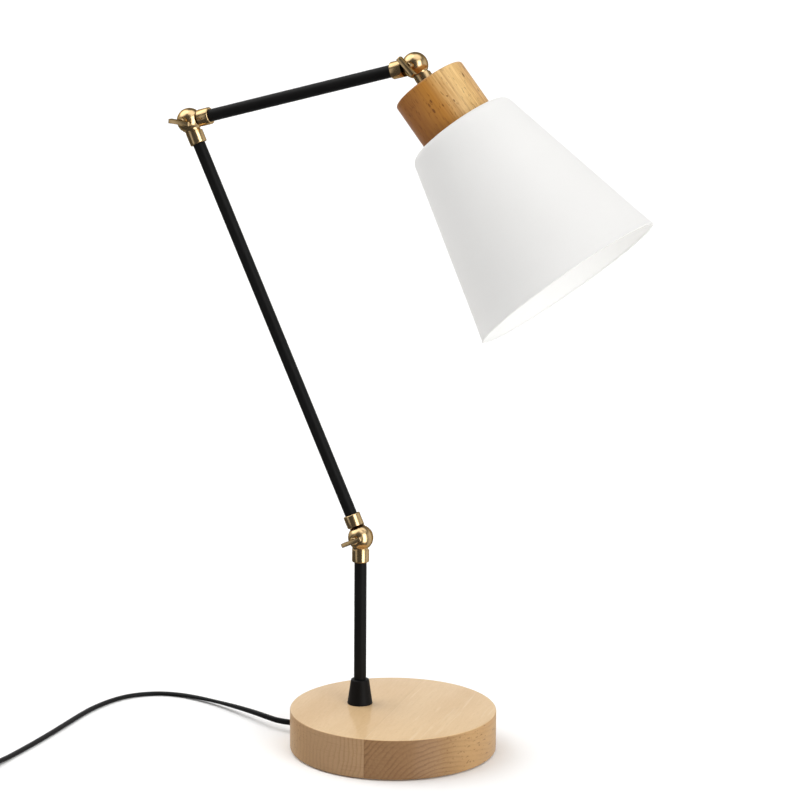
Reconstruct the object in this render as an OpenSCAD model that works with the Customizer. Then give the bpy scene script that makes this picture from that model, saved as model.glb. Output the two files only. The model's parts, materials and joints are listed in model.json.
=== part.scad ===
// Table lamp: a round beech base, a jointed black tube arm with brass knuckles, and a white metal shade
// The origin is on the table under the middle of the base, +X runs towards the shade, and +Z is up

/* [Base] */
// Diameter of the wooden base
base_d = 180; // [170:1:220]
// Height of the base's top face above the table
base_h = 36; // [32:0.5:50]
// Rounding of the base's outer edges
base_round = 1.5; // [0.5:0.25:4]
// Width of the wooden ring around the recess under the base
base_wall = 15; // [12:0.5:20]
// Height of the recess's ceiling above the table
recess_top = 15; // [15:0.5:18]
// Thickness of the pad that the lamp stands on
pad_t = 2; // [1:0.25:3]
// How far the pad stands below the wood
pad_proud = 0.8; // [0.5:0.1:1.5]
// Width of the ledge that the pad is glued to
pad_ledge = 7; // [4:0.5:9]
// Gap around the pad and the weight
base_gap = 0.5; // [0.3:0.1:2]
// Thickness of the iron weight in the recess
weight_t = 11; // [9:0.5:12]
// Diameter of the circle that the weight's screws stand on
weight_screw_circle = 110; // [100:1:125]
// Shank diameter of the weight's screws
weight_screw_d = 4; // [3:0.5:5]
// Length of the weight's screws
weight_screw_l = 20; // [16:0.5:24]

/* [Stem] */
// Distance of the stem behind the middle of the base
stem_offset = 32; // [20:1:38]
// Height of the lowest knuckle above the base's top face
stem_rise = 149.5; // [110:0.5:200]
// Outer diameter of the tubes
tube_d = 10.75; // [9:0.25:11]
// Inner diameter of the tubes
tube_bore = 7; // [6.5:0.1:8]
// Diameter of the ferrule where it meets the base
ferrule_d = 22; // [18:0.5:28]
// Diameter of the ferrule's top
ferrule_top_d = 16.2; // [13:0.2:18]
// Height of the ferrule
ferrule_h = 22; // [12:0.5:30]
// Width across the flats of the lamp nuts
nut_flats = 14; // [13:0.5:16]
// Thickness of the lamp nuts
nut_t = 4; // [3:0.25:5]
// Diameter of the lamp washers
plate_washer_d = 24; // [18:0.5:26]
// Thickness of the lamp washers
plate_washer_t = 1.5; // [1:0.25:2]

/* [Arms] */
// Length of the lower arm between its knuckles
lower_len = 390; // [300:1:450]
// Length of the upper arm between its knuckles
upper_len = 220; // [180:1:280]
// Backward lean of the lower arm from upright
lower_lean = 25; // [10:1:40]
// Forward lean of the upper arm from upright
upper_lean = 75.2; // [60:0.1:78]
// Forward swing of the head from hanging straight down
head_swing = 38.7; // [15:0.1:60]

/* [Knuckles] */
// Diameter of the ball that the two halves make
ball_d = 22; // [21:0.25:24]
// Diameter of the collars on the halves
collar_d = 14.8; // [14.8:0.1:15.2]
// Distance of a collar's end from the middle of its ball
collar_end = 21.5; // [20:0.25:26]
// Diameter of the neck between a ball and its collar
neck_d = 14.2; // [13.2:0.1:14.3]
// Radius of the fillet between a ball and its neck
neck_fillet = 3; // [2:0.25:4]
// Length of the plain neck between its fillet and the collar's shoulder
neck_len = 0.4; // [0.2:0.1:1.2]
// Depth of the threaded socket in a collar
socket_depth = 8; // [6:0.25:8.5]
// Room that a collar leaves around the other half's ball
neck_room = 2.2; // [1:0.1:2.4]
// Thickness of the friction washers between the halves
friction_t = 1; // [0.4:0.1:1.2]
// Radius of the boss around the screw
boss_r = 4.2; // [3.8:0.1:4.6]
// Outer radius of the room for the wires around the boss
wire_room_r = 8; // [7.4:0.1:8.6]
// Depth of the room for the wires
wire_room_depth = 4.5; // [3:0.25:5]

/* [Thumb screws] */
// Shank diameter of the thumb screws
screw_d = 5; // [4:0.25:5.5]
// Depth of a thumb screw's shank in the far half
screw_reach = 7.5; // [5:0.25:8.5]
// Diameter of the shoulder under the handle
shoulder_d = 7; // [6:0.25:8]
// Distance of the seat for the shoulder from the middle of the ball
shoulder_seat = 10.2; // [9.4:0.1:10.4]
// Length of the shoulder between the ball and the handle
shoulder_len = 4.2; // [3:0.2:6]
// Length of the handle plate
handle_len = 20; // [16:0.5:26]
// Depth of the handle plate along the screw
handle_depth = 6.2; // [4:0.2:9]
// Thickness of the handle plate
handle_t = 3.6; // [2.5:0.1:5]
// Rounding of the handle plate's corners
handle_round = 1; // [0.5:0.1:1.6]
// Turn of the lowest thumb screw's handle above level
handle_1_turn = 25; // [-90:1:90]
// Turn of the elbow thumb screw's handle above level
handle_2_turn = -5; // [-90:1:90]
// Turn of the head thumb screw's handle above level
handle_3_turn = -44; // [-90:1:90]

/* [Head] */
// Diameter of the wooden cup
cup_d = 65.8; // [62:0.2:76]
// Height of the wooden cup
cup_h = 45; // [38:0.5:50]
// Thickness of the cup's top
cup_top_t = 10; // [8:0.5:11]
// Thickness of the cup's side
cup_wall = 8; // [5:0.5:9]
// Rounding of the cup's top edge
cup_round = 2.2; // [1:0.1:4]
// Depth that the collar sits in the cup's top
collar_seat = 1.9; // [0.5:0.1:2.5]
// Width of the shade's flat top before its shoulder is rounded
shade_top_d = 94; // [88:0.5:100]
// Diameter of the shade's rim
shade_rim_d = 170.4; // [150:0.2:200]
// Height of the shade
shade_h = 157.5; // [150:0.5:190]
// Thickness of the shade's sheet
shade_t = 0.8; // [0.6:0.1:1.6]
// Radius of the shade's shoulder
shoulder_r = 8; // [5:0.5:13]
// Thickness of the rolled bead around the rim
bead_d = 1.8; // [1.6:0.1:3.4]

/* [Lampholder and bulb] */
// Outer diameter of the lampholder
holder_d = 38; // [36:0.25:40]
// Height of the lampholder's cap
holder_cap_h = 20; // [18:0.5:22]
// Thickness of the lampholder's wall
holder_wall = 4; // [3.2:0.1:4.4]
// Diameter of the ring that holds the shade
ring_d = 56; // [48:0.5:60]
// Height of the ring that holds the shade
ring_h = 7; // [4:0.5:10]
// Diameter of the bulb's screw cap over its thread
bulb_thread_d = 26.4; // [25.6:0.1:26.6]
// Length of the bulb's screw cap
bulb_cap_l = 24; // [22:0.5:28]
// Diameter of the bulb's globe
globe_d = 60; // [50:0.5:66]
// Distance of the globe's middle from the bulb's screw cap
globe_rise = 50; // [44:0.5:56]
// Thickness of the bulb's glass and of its screw cap
bulb_wall = 1; // [0.8:0.1:1.6]

/* [Cord] */
// Height of the cord's hole above the table
cord_z = 9; // [8.4:0.1:9.2]
// Width of the flat cord
cord_w = 5.2; // [4.8:0.1:5.4]
// Thickness of the flat cord
cord_t = 3.4; // [2.8:0.1:3.6]
// Bend of the lead under the stem
lead_bend = 8; // [6:0.25:9]
// Outer diameter of the bushing in the base's wall
bushing_d = 9; // [8.2:0.1:10]
// Diameter of the bushing's flange
bushing_flange_d = 13; // [11:0.5:16]
// Thickness of the bushing's flange
bushing_flange_t = 1.5; // [1:0.1:1.5]
// Width of the clamp that holds the lead in the base
clamp_w = 22; // [20:0.5:26]
// Length of the clamp along the lead
clamp_l = 9; // [7:0.5:11]
// Distance between the clamp's screws
clamp_pitch = 15; // [13:0.5:16]
// Shank diameter of the clamp's screws
clamp_screw_d = 3; // [2.5:0.25:3.5]
// Inner radius of the coil's innermost turn at the middle of the cord
coil_inner_r = 20; // [18:0.5:24]
// Turns in the coil
coil_turns = 6.25; // [4.25:1:8.25]
// Gap between neighbouring turns of the coil
turn_gap = 0.7; // [0.6:0.1:1.5]
// Width of the strap that ties the coil
tie_w = 9; // [6:0.5:14]
// Thickness of the strap that ties the coil
tie_t = 0.7; // [0.5:0.1:1.2]

/* [Cord switch and plug] */
// Length of the switch along the cord
switch_l = 62; // [56:1:76]
// Width of the switch
switch_w = 27; // [24:0.5:32]
// Height of the switch's lower shell
switch_base_h = 8; // [7.4:0.2:10]
// Height of the switch's upper shell
switch_cover_h = 7.5; // [7:0.25:10]
// Thickness of the switch's shells
switch_wall = 2; // [1.6:0.1:2.4]
// Length of the rocker along the cord
rocker_l = 20; // [17:0.5:22]
// Width of the rocker
rocker_w = 10; // [8:0.25:12]
// Tilt of the rocker to either side
rocker_tilt = 8; // [5:0.5:10]
// Diameter of the rocker's pivot pins
rocker_pin_d = 3; // [2.4:0.1:3.4]
// Width of the plug's body
plug_w = 35; // [33:0.5:38]
// Thickness of the plug's body
plug_t = 13.6; // [12:0.2:16]
// Length of the plug's body
plug_l = 34; // [28:0.5:40]
// Length of the plug's tapered strain relief
relief_l = 28; // [22:0.5:40]
// Diameter of the plug's pins
pin_d = 4; // [3.8:0.1:4.8]
// Length of the plug's pins
pin_l = 19; // [17:0.5:20]
// Distance between the plug's pins
pin_pitch = 18.6; // [17.5:0.1:19.5]

/* [Fits] */
// Radial clearance of screwed and pushed pieces that stay still
slip = 0.05; // [0.02:0.01:0.1]
// Radial clearance of turning pieces
run = 0.06; // [0.03:0.01:0.1]
// Small gap between faces that turn on each other
face_gap = 0.05; // [0.02:0.01:0.15]
// Room around the lead in the knuckles and the bushing
lead_room = 0.3; // [0.1:0.05:0.5]
// Swinging room around the rocker
rocker_room = 0.7; // [0.5:0.05:1]

/* [Hidden] */
$fn = 72;
over = 1;
base_r = base_d / 2;
recess_r = base_r - base_wall;
pad_d = 2 * (recess_r + pad_ledge);
weight_z = recess_top - weight_t;
weight_screw_head = 2 * weight_screw_d;
weight_screw_turns = [40, 160, 280];
tube_foot = cord_z + lead_bend;
thread_stub = 0.5;
nut_z = tube_foot + thread_stub;
pocket_top = nut_z + nut_t + plate_washer_t;
pocket_d = plate_washer_d + 4;
hub_d = pocket_d + 4;
ferrule_foot = 1;
ferrule_chamfer = 1;
slot_w = clamp_w + 4;
clamp_x = -(recess_r - clamp_l - 3);
clamp_floor = 1.5;
clamp_z = cord_z - cord_w / 2 - slip - clamp_floor;
clamp_head_t = 1.2;
clamp_screw_l = 17;

knuckle_1 = [-stem_offset, 0, base_h + stem_rise];
knuckle_2 = knuckle_1 + lower_len * [-sin(lower_lean), 0, cos(lower_lean)];
knuckle_3 = knuckle_2 + upper_len * [sin(upper_lean), 0, cos(upper_lean)];
split = friction_t + face_gap;
half_room = 4 * ball_d;
socket_z = collar_end - socket_depth;
fillet_bite = 0.15;
fillet_r = neck_d / 2 + neck_fillet;
fillet_z = sqrt(pow(ball_d / 2 + neck_fillet - fillet_bite, 2) - fillet_r * fillet_r);
collar_start = fillet_z + neck_len;
collar_chamfer = 0.2;
collar_round = 1;
wire_bore = cord_w + 2 * lead_room;
wire_start = (boss_r + wire_room_r) / 2;
lead_start = ball_d / 2 + neck_room;
screw_hole_depth = screw_reach + 0.6;
handle_y = shoulder_seat + face_gap + shoulder_len;

cup_z = collar_end - collar_seat;
cup_end = cup_z + cup_h;
cup_ceiling = cup_z + cup_top_t;
cup_foot_chamfer = 0.8;
head_nut_z = cup_ceiling + plate_washer_t;
holder_z = head_nut_z + nut_t;
holder_boss_h = 8;
holder_boss_r = tube_d / 2 + 4.5;
nipple_end = holder_z + holder_boss_h;
skirt_z = holder_z + holder_cap_h;
skirt_bore_r = holder_d / 2 - holder_wall;
disc_t = 4;
contact_z = skirt_z + disc_t;
contact_h = 2.5;
contact_r = 3;
shell_t = 0.6;
shell_l = bulb_cap_l - 4;
bulb_z = contact_z + contact_h;
button_t = 1.5;
insulator_h = 3.5;
thread_depth = 0.6;
thread_pitch = 3.6;
thread_z = bulb_z + button_t + insulator_h;
bulb_neck_z = bulb_z + bulb_cap_l;
globe_z = bulb_neck_z + globe_rise;
bulb_neck_r = bulb_thread_d / 2 + 0.6;
skirt_end = bulb_neck_z - 1;

shade_z = cup_end;
shade_slope = atan((shade_rim_d - shade_top_d) / 2 / shade_h);
shade_hole_r = holder_d / 2 + 0.4;
shoulder_c = [shade_top_d / 2 - shoulder_r * tan(45 - shade_slope / 2), shade_z + shoulder_r];
rim_z = shade_z + shade_h;

turn_pitch = cord_w + turn_gap;
layer_pitch = cord_t + turn_gap;
tie_gap = 0.2;
coil_z = tie_t + tie_gap + cord_t / 2;
coil_outer_r = coil_inner_r + turn_pitch * coil_turns / 2;
rings_per_turn = 24;
tube_sides = 10;
coil_sides = 6;
steps_per_span = 2;
twist_end = 160;

// The cord leaves the base level, sinks to the table and runs round to the switch
lead_route = [
    [-91.5, 0, 9], [-103, -0.8, 8.9], [-114, 0.8, 8.7], [-125, 5.6, 8.4], [-138, 12.3, 7.8], [-151, 19.2, 6.9],
    [-167, 27.2, 5.7], [-184, 35, 4.4], [-200, 41.2, 3.4], [-214, 45.3, 2.7], [-226, 47.7, 2.2], [-237, 48.4, 1.9],
    [-248, 47.2, 1.75], [-258, 44, 1.7], [-266.5, 38.5, 1.7], [-274.5, 31, 1.7], [-281, 21, 1.7], [-285.5, 9, 1.7],
    [-288.5, -6, 1.7], [-290.2, -24, 1.7], [-290, -44, 1.7], [-288.6, -70, 1.7], [-287.2, -96, 1.7],
    [-286.3, -122, 1.7], [-286, -148, 1.7], [-286, -170, 1.9], [-286, -190, 3], [-286, -208, 4.8],
    [-286, -224, 6.4], [-286, -240, 7]
];
// From the switch's far end to the coil, measured from that end, with the height as a share of the drop
link_route = [
    [0, 0, 0], [0, -8, 0.02], [-0.6, -16, 0.14], [-3, -25, 0.36], [-8, -33, 0.64], [-15, -38.5, 0.82],
    [-24, -41.4, 0.95], [-34, -42, 1], [-47, -42, 1], [-60, -42, 1]
];
// From the coil's end to the plug, measured from that end, with the height as a share of the climb
tail_route = [[0, 0, 0], [0, 6, 0], [0, 13, 0.4], [0, 20, 1], [0, 26, 1]];

lead_end = lead_route[len(lead_route) - 1];
link_from = lead_end + [0, -switch_l, 0];
link_points = rise_along(link_route, link_from, coil_z);
link_end = link_points[len(link_points) - 1];
coil_at = [link_end[0], link_end[1] + coil_outer_r, 0];
coil_finish = coil_place(coil_turns);
plug_gap = 0.2;
plug_z = plug_t / 2 + plug_gap;
tail_points = rise_along(tail_route, coil_finish, plug_z);
plug_at = tail_points[len(tail_points) - 1];
switch_mid = lead_end + [0, -switch_l / 2, -lead_end[2]];
switch_round = 6;
switch_screw_d = 3;
switch_post_bite = 0.6;
switch_screw_x = switch_w / 2 - switch_wall - switch_screw_d + switch_post_bite;
switch_screw_y = switch_l / 2 - 9;
contact_strip = [3, 20, 1.2];
rocker_z = switch_base_h + switch_cover_h - rocker_pin_d / 2 - 2;
rocker_h = 4;
rocker_dish_r = 26;
rocker_skirt = 2.4;
rocker_pins_l = rocker_w + 2 * (rocker_room + switch_wall) - 2 * over;

function unit(v) = v / norm(v);

// A route laid from a place, changing to a height in the shares that it gives
function rise_along(route, from, height) =
    [for (p = route) [from[0] + p[0], from[1] + p[1], from[2] + p[2] * (height - from[2])]];

function arc(c, r, from, to, n = 8) =
    [for (i = [0 : n]) let (a = from + (to - from) * i / n) c + r * [cos(a), sin(a)]];

// Points of a smooth curve through a route, with extra points between
function smooth(route, steps) =
    [for (i = [0 : len(route) - 2], k = [0 : steps - 1])
        let (a = route[max(i - 1, 0)], b = route[i], c = route[i + 1])
        let (d = route[min(i + 2, len(route) - 1)], t = k / steps)
        0.5 * (2 * b + (c - a) * t + (2 * a - 5 * b + 4 * c - d) * t * t
            + (3 * b - a - 3 * c + d) * t * t * t),
        route[len(route) - 1]];

function heading(points, i) =
    unit(points[min(i + 1, len(points) - 1)] - points[max(i - 1, 0)]);

// One ring of the flat cord's section, square to the cord, with its wide side turned by twist
function cord_ring(at, ahead, sides, twist = 0) =
    let (side = unit(cross([0, 0, 1], ahead)), up = cross(ahead, side))
    let (wide = side * cos(twist) + up * sin(twist), thick = up * cos(twist) - side * sin(twist))
    [for (k = [0 : sides - 1])
        let (a = 360 * (k + 0.5) / sides)
        at + wide * cord_w / 2 * cos(a) / cos(180 / sides) + thick * cord_t / 2 * sin(a)];

// Tube through rings of equal length
module tube_through(rings) {
    n = len(rings[0]);
    last = len(rings) - 1;
    start = [for (k = [1 : n - 2]) [0, k, k + 1]];
    finish = [for (k = [1 : n - 2]) [last * n, last * n + k + 1, last * n + k]];
    walls = [for (i = [0 : last - 1], k = [0 : n - 1], half = [0, 1])
        let (a = i * n + k, b = i * n + (k + 1) % n)
        half == 0 ? [a, a + n, b] : [b, a + n, b + n]];
    polyhedron([for (r = rings) each r], concat(start, walls, finish));
}

// A flat cord along points, with square ends, twisted over its first length
module flat_cord(points, twisted = false) {
    last = len(points) - 1;
    tube_through([
        for (i = [0 : last])
            cord_ring(points[i], heading(points, i), tube_sides, twisted ? lead_twist(points[i]) : 0)
    ]);
}

// The lead stands on edge at the base and lies flat farther out
function lead_twist(p) =
    let (t = min(max((-p[0] - base_r) / twist_end, 0), 1))
    90 * (1 - t * t * (3 - 2 * t));

// The coil winds inwards on the table, climbs a layer and winds outwards again
function coil_radius(t) = coil_inner_r + turn_pitch * abs(t - coil_turns / 2);
function coil_height(t) =
    let (u = min(max((t - coil_turns / 2) * 2 + 0.5, 0), 1))
    coil_z + layer_pitch * u * u * (3 - 2 * u);
function coil_place(t) =
    coil_at + [0, 0, coil_height(t)] - coil_radius(t) * [sin(360 * t), cos(360 * t), 0];
function coil_points() =
    [for (i = [0 : coil_turns * rings_per_turn]) coil_place(i / rings_per_turn)];
function coil_heading(points, i) =
    i == 0 ? [-1, 0, 0] : i == len(points) - 1 ? [0, 1, 0] : heading(points, i);
function coil_rings() =
    let (p = coil_points())
    [for (i = [0 : len(p) - 1]) cord_ring(p[i], coil_heading(p, i), coil_sides)];

// Least distance between points of different turns
function coil_gap(rings) =
    min([for (i = [0 : len(rings) - 1])
        for (j = [i + rings_per_turn / 2 : len(rings) - 1])
            if (norm(rings[i][0] - rings[j][0]) < 2 * turn_pitch)
                min([for (a = rings[i], b = rings[j]) norm(a - b)])]);

// Placing: each of these carries its children to a part of the arm
module at_knuckle_1() { translate(knuckle_1) children(); }
module at_knuckle_2() { translate(knuckle_2) children(); }
module at_knuckle_3() { translate(knuckle_3) children(); }
module up_lower_arm() { at_knuckle_1() rotate([0, -lower_lean, 0]) children(); }
module down_lower_arm() { at_knuckle_2() rotate([0, 180 - lower_lean, 0]) children(); }
module out_upper_arm() { at_knuckle_2() rotate([0, upper_lean, 0]) children(); }
module back_upper_arm() { at_knuckle_3() rotate([0, 180 + upper_lean, 0]) children(); }
module along_head() { at_knuckle_3() rotate([0, 180 - head_swing, 0]) children(); }
module along_x() { rotate([0, 90, 0]) children(); }
module towards_y(side) { rotate([-90 * side, 0, 0]) children(); }

module turned(outline) { rotate_extrude() polygon(outline); }

module ring(outer_d, inner_d, h) {
    difference() {
        cylinder(d = outer_d, h = h);
        translate([0, 0, -over]) cylinder(d = inner_d, h = h + 2 * over);
    }
}

module lamp_nut() {
    difference() {
        cylinder(d = nut_flats / cos(30), h = nut_t, $fn = 6);
        translate([0, 0, -over]) cylinder(d = tube_d + 2 * slip, h = nut_t + 2 * over);
    }
}

module lamp_washer() { ring(plate_washer_d, tube_d + 2 * slip, plate_washer_t); }

// Section of the flat lead, wide along X
module lead_section(room = 0) {
    w = cord_w + 2 * room;
    t = cord_t + 2 * room;
    for (side = [-1, 1])
        translate([side * (w - t) / 2, 0]) circle(d = t);
    square([w - t, t], center = true);
}

module at_weight_screws() {
    for (turn = weight_screw_turns)
        rotate([0, 0, turn]) translate([weight_screw_circle / 2, 0, 0]) children();
}

module at_clamp_screws() {
    for (side = [-1, 1])
        translate([clamp_x, side * clamp_pitch / 2, 0]) children();
}

module wood_base() {
    color("burlywood") difference() {
        turned(concat(
            [[0, pad_proud]],
            arc([base_r - base_round, pad_proud + base_round], base_round, -90, 0),
            arc([base_r - base_round, base_h - base_round], base_round, 0, 90),
            [[0, base_h]]
        ));
        cylinder(d = pad_d + 2 * base_gap, h = pad_t);
        cylinder(r = recess_r, h = recess_top);
        translate([-stem_offset, 0, 0]) cylinder(d = pocket_d, h = pocket_top);
        translate([-stem_offset, 0, 0]) cylinder(d = tube_d + 2 * slip, h = base_h + over);
        translate([-base_r - over, 0, cord_z]) along_x()
            cylinder(d = bushing_d + 2 * slip, h = base_wall + 2 * over);
        at_weight_screws()
            cylinder(d = weight_screw_d + 2 * slip, h = weight_z + weight_screw_l + slip);
        at_clamp_screws()
            cylinder(d = clamp_screw_d + 2 * slip, h = clamp_z + clamp_screw_l + slip);
    }
}

module base_pad() {
    color("dimgray") cylinder(d = pad_d, h = pad_t);
}

module base_weight() {
    color("slategray") difference() {
        translate([0, 0, weight_z]) cylinder(r = recess_r - base_gap, h = weight_t);
        translate([-stem_offset, 0, 0]) cylinder(d = hub_d, h = recess_top + over);
        translate([-base_d - stem_offset, -slot_w / 2, 0]) cube([base_d, slot_w, recess_top + over]);
        at_weight_screws() {
            cylinder(d = weight_screw_d + 2 * slip, h = recess_top + over);
            translate([0, 0, weight_z])
                cylinder(d1 = weight_screw_head + 2 * slip, d2 = weight_screw_d + 2 * slip,
                    h = weight_screw_d / 2);
        }
    }
}

module weight_screws() {
    color("silver") at_weight_screws() translate([0, 0, weight_z]) {
        cylinder(d1 = weight_screw_head, d2 = weight_screw_d, h = weight_screw_d / 2);
        cylinder(d = weight_screw_d, h = weight_screw_l);
    }
}

module ferrule() {
    inner = tube_d / 2 + slip;
    top = base_h + ferrule_h;
    color("black") translate([-stem_offset, 0, 0]) turned([
        [inner, base_h],
        [ferrule_d / 2, base_h],
        [ferrule_d / 2, base_h + ferrule_foot],
        [ferrule_top_d / 2, top - ferrule_chamfer],
        [ferrule_top_d / 2 - ferrule_chamfer, top],
        [inner, top]
    ]);
}

module stem_tube() {
    color("black") translate([-stem_offset, 0, tube_foot])
        ring(tube_d, tube_bore, knuckle_1[2] - socket_z - tube_foot);
}

module stem_washer() {
    color("silver") translate([-stem_offset, 0, nut_z + nut_t]) lamp_washer();
}

module stem_nut() {
    color("gold") translate([-stem_offset, 0, nut_z]) lamp_nut();
}

module cord_bushing() {
    color("black") difference() {
        union() {
            translate([-base_r - bushing_flange_t, 0, cord_z]) along_x()
                cylinder(d = bushing_flange_d, h = bushing_flange_t);
            translate([-base_r, 0, cord_z]) along_x() cylinder(d = bushing_d, h = base_wall);
        }
        translate([-base_r - bushing_flange_t - over, 0, cord_z]) along_x()
            linear_extrude(base_wall + bushing_flange_t + 2 * over) lead_section(lead_room);
    }
}

module lead_clamp() {
    color("dimgray") difference() {
        translate([clamp_x - clamp_l / 2, -clamp_w / 2, clamp_z])
            cube([clamp_l, clamp_w, recess_top - clamp_z]);
        translate([clamp_x - clamp_l / 2 - over, -cord_t / 2 - slip, clamp_z + clamp_floor])
            cube([clamp_l + 2 * over, cord_t + 2 * slip, recess_top]);
        at_clamp_screws() cylinder(d = clamp_screw_d + 2 * slip, h = recess_top + over);
    }
}

module clamp_screws() {
    color("silver") at_clamp_screws() translate([0, 0, clamp_z]) {
        cylinder(d = clamp_screw_d, h = clamp_screw_l);
        translate([0, 0, -clamp_head_t]) cylinder(d = 2 * clamp_screw_d, h = clamp_head_t);
    }
}

module base_lead() {
    run_from = -base_r - bushing_flange_t;
    bend_at = -stem_offset - lead_bend;
    color("black") {
        translate([run_from, 0, cord_z]) along_x() linear_extrude(bend_at - run_from) lead_section();
        translate([bend_at, 0, tube_foot]) rotate([90, 0, 0]) rotate([0, 0, -90])
            rotate_extrude(angle = 90) translate([lead_bend, 0]) lead_section();
        translate([-stem_offset, 0, tube_foot])
            linear_extrude(knuckle_1[2] - lead_start - tube_foot) lead_section();
    }
}

// Half of a knuckle: a half ball on one side of the split, with a neck and a collar along +Z
module half_knuckle(side) {
    difference() {
        union() {
            sphere(d = ball_d);
            turned(concat(
                [[0, 0]],
                arc([fillet_r, fillet_z], neck_fillet, 180 + atan(fillet_z / fillet_r), 180),
                [[neck_d / 2, collar_start], [collar_d / 2 - collar_chamfer, collar_start],
                    [collar_d / 2, collar_start + collar_chamfer]],
                arc([collar_d / 2 - collar_round, collar_end - collar_round], collar_round, 0, 90, 5),
                [[0, collar_end]]
            ));
        }
        intersection() {
            sphere(d = ball_d + 2 * neck_room);
            translate([0, side * (split - half_room) / 2, 0]) cube(half_room, center = true);
        }
        translate([0, 0, socket_z]) cylinder(d = tube_d + 2 * slip, h = socket_depth + over);
        translate([0, 0, wire_start]) cylinder(d = wire_bore, h = collar_end);
        towards_y(side) difference() {
            cylinder(r = wire_room_r, h = split / 2 + wire_room_depth);
            cylinder(r = boss_r, h = ball_d);
        }
        if (side < 0) {
            towards_y(side) cylinder(d = screw_d + 2 * run, h = ball_d);
            translate([0, side * shoulder_seat, 0]) towards_y(side)
                cylinder(d = shoulder_d + 2 * lead_room, h = ball_d);
        } else {
            towards_y(side) cylinder(d = screw_d + 2 * run, h = screw_hole_depth);
        }
    }
}

module friction_washer() {
    translate([0, -split / 2, 0]) towards_y(1) ring(2 * boss_r, screw_d + 2 * run, friction_t);
}

// Thumb screw along Y with its flat handle on the near side, level along X
module thumb_screw() {
    translate([0, -shoulder_seat - face_gap, 0]) {
        towards_y(1) cylinder(d = screw_d, h = shoulder_seat + face_gap + screw_reach);
        towards_y(-1) cylinder(d = shoulder_d, h = shoulder_len + handle_depth / 2);
    }
    translate([0, -handle_y - handle_depth / 2, -handle_t / 2]) linear_extrude(handle_t) {
        for (x = [-1, 1], y = [-1, 1])
            translate([x * (handle_len / 2 - handle_round), y * (handle_depth / 2 - handle_round)])
                circle(r = handle_round);
        square([handle_len - 2 * handle_round, handle_depth], center = true);
        square([handle_len, handle_depth - 2 * handle_round], center = true);
    }
}

module stem_knuckle() { color("darkgoldenrod") at_knuckle_1() mirror([0, 0, 1]) half_knuckle(-1); }
module friction_washer_low() { color("dimgray") at_knuckle_1() friction_washer(); }
module thumb_screw_low() {
    color("goldenrod") at_knuckle_1() rotate([0, -handle_1_turn, 0]) thumb_screw();
}
module lower_arm_foot_knuckle() { color("darkgoldenrod") up_lower_arm() half_knuckle(1); }
module lower_arm_top_knuckle() { color("darkgoldenrod") down_lower_arm() half_knuckle(-1); }
module friction_washer_elbow() { color("dimgray") at_knuckle_2() friction_washer(); }
module thumb_screw_elbow() {
    color("goldenrod") at_knuckle_2() rotate([0, -handle_2_turn, 0]) thumb_screw();
}
module upper_arm_rear_knuckle() { color("darkgoldenrod") out_upper_arm() half_knuckle(1); }
module upper_arm_front_knuckle() { color("darkgoldenrod") back_upper_arm() half_knuckle(1); }
module friction_washer_head() { color("dimgray") at_knuckle_3() friction_washer(); }
module thumb_screw_head() {
    color("goldenrod") at_knuckle_3() rotate([0, -handle_3_turn, 0]) thumb_screw();
}
module head_knuckle() { color("darkgoldenrod") along_head() half_knuckle(-1); }

module arm_tube(length) {
    translate([0, 0, socket_z]) ring(tube_d, tube_bore, length - 2 * socket_z);
}

module arm_lead(length) {
    translate([0, 0, lead_start]) linear_extrude(length - 2 * lead_start) lead_section();
}

module lower_arm_tube() { color("black") up_lower_arm() arm_tube(lower_len); }
module lower_arm_lead() { color("dimgray") up_lower_arm() arm_lead(lower_len); }
module upper_arm_tube() { color("black") out_upper_arm() arm_tube(upper_len); }
module upper_arm_lead() { color("dimgray") out_upper_arm() arm_lead(upper_len); }

module head_lead() {
    color("dimgray") along_head() translate([0, 0, lead_start])
        linear_extrude(nipple_end - lead_start) lead_section();
}

module head_nipple() {
    color("gold") along_head() translate([0, 0, socket_z]) ring(tube_d, tube_bore, nipple_end - socket_z);
}

module wood_cup() {
    r = cup_d / 2;
    hole = tube_d / 2 + slip;
    color("peru") along_head() difference() {
        turned(concat(
            [[hole, cup_z]],
            arc([r - cup_round, cup_z + cup_round], cup_round, -90, 0),
            [[r, cup_end - cup_foot_chamfer], [r - cup_foot_chamfer, cup_end], [r - cup_wall, cup_end],
                [r - cup_wall, cup_ceiling], [hole, cup_ceiling]]
        ));
        translate([0, 0, cup_z - over]) cylinder(d = collar_d + 2 * lead_room, h = collar_seat + over);
    }
}

module cup_washer() { color("silver") along_head() translate([0, 0, cup_ceiling]) lamp_washer(); }
module cup_nut() { color("gold") along_head() translate([0, 0, head_nut_z]) lamp_nut(); }

module lampholder_cap() {
    r = holder_d / 2;
    hole = tube_d / 2 + slip;
    color("dimgray") along_head() turned([
        [hole, holder_z],
        [holder_boss_r, holder_z],
        [holder_boss_r, holder_z + holder_boss_h / 2],
        [r, skirt_z - holder_cap_h / 4],
        [r, skirt_z],
        [r - holder_wall, skirt_z],
        [r - holder_wall, skirt_z - holder_cap_h / 4],
        [holder_boss_r - holder_wall / 2, nipple_end],
        [hole, nipple_end]
    ]);
}

module lampholder_skirt() {
    color("dimgray") along_head() translate([0, 0, skirt_z]) ring(holder_d, 2 * skirt_bore_r, skirt_end - skirt_z);
}

module lampholder_disc() {
    color("white") along_head() translate([0, 0, skirt_z]) cylinder(r = skirt_bore_r - slip, h = disc_t);
}

module lampholder_contact() {
    color("gold") along_head() translate([0, 0, contact_z]) cylinder(r = contact_r, h = contact_h);
}

module lampholder_shell() {
    outer = 2 * (skirt_bore_r - slip);
    color("gold") along_head() translate([0, 0, contact_z]) ring(outer, outer - 2 * shell_t, shell_l);
}

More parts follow.
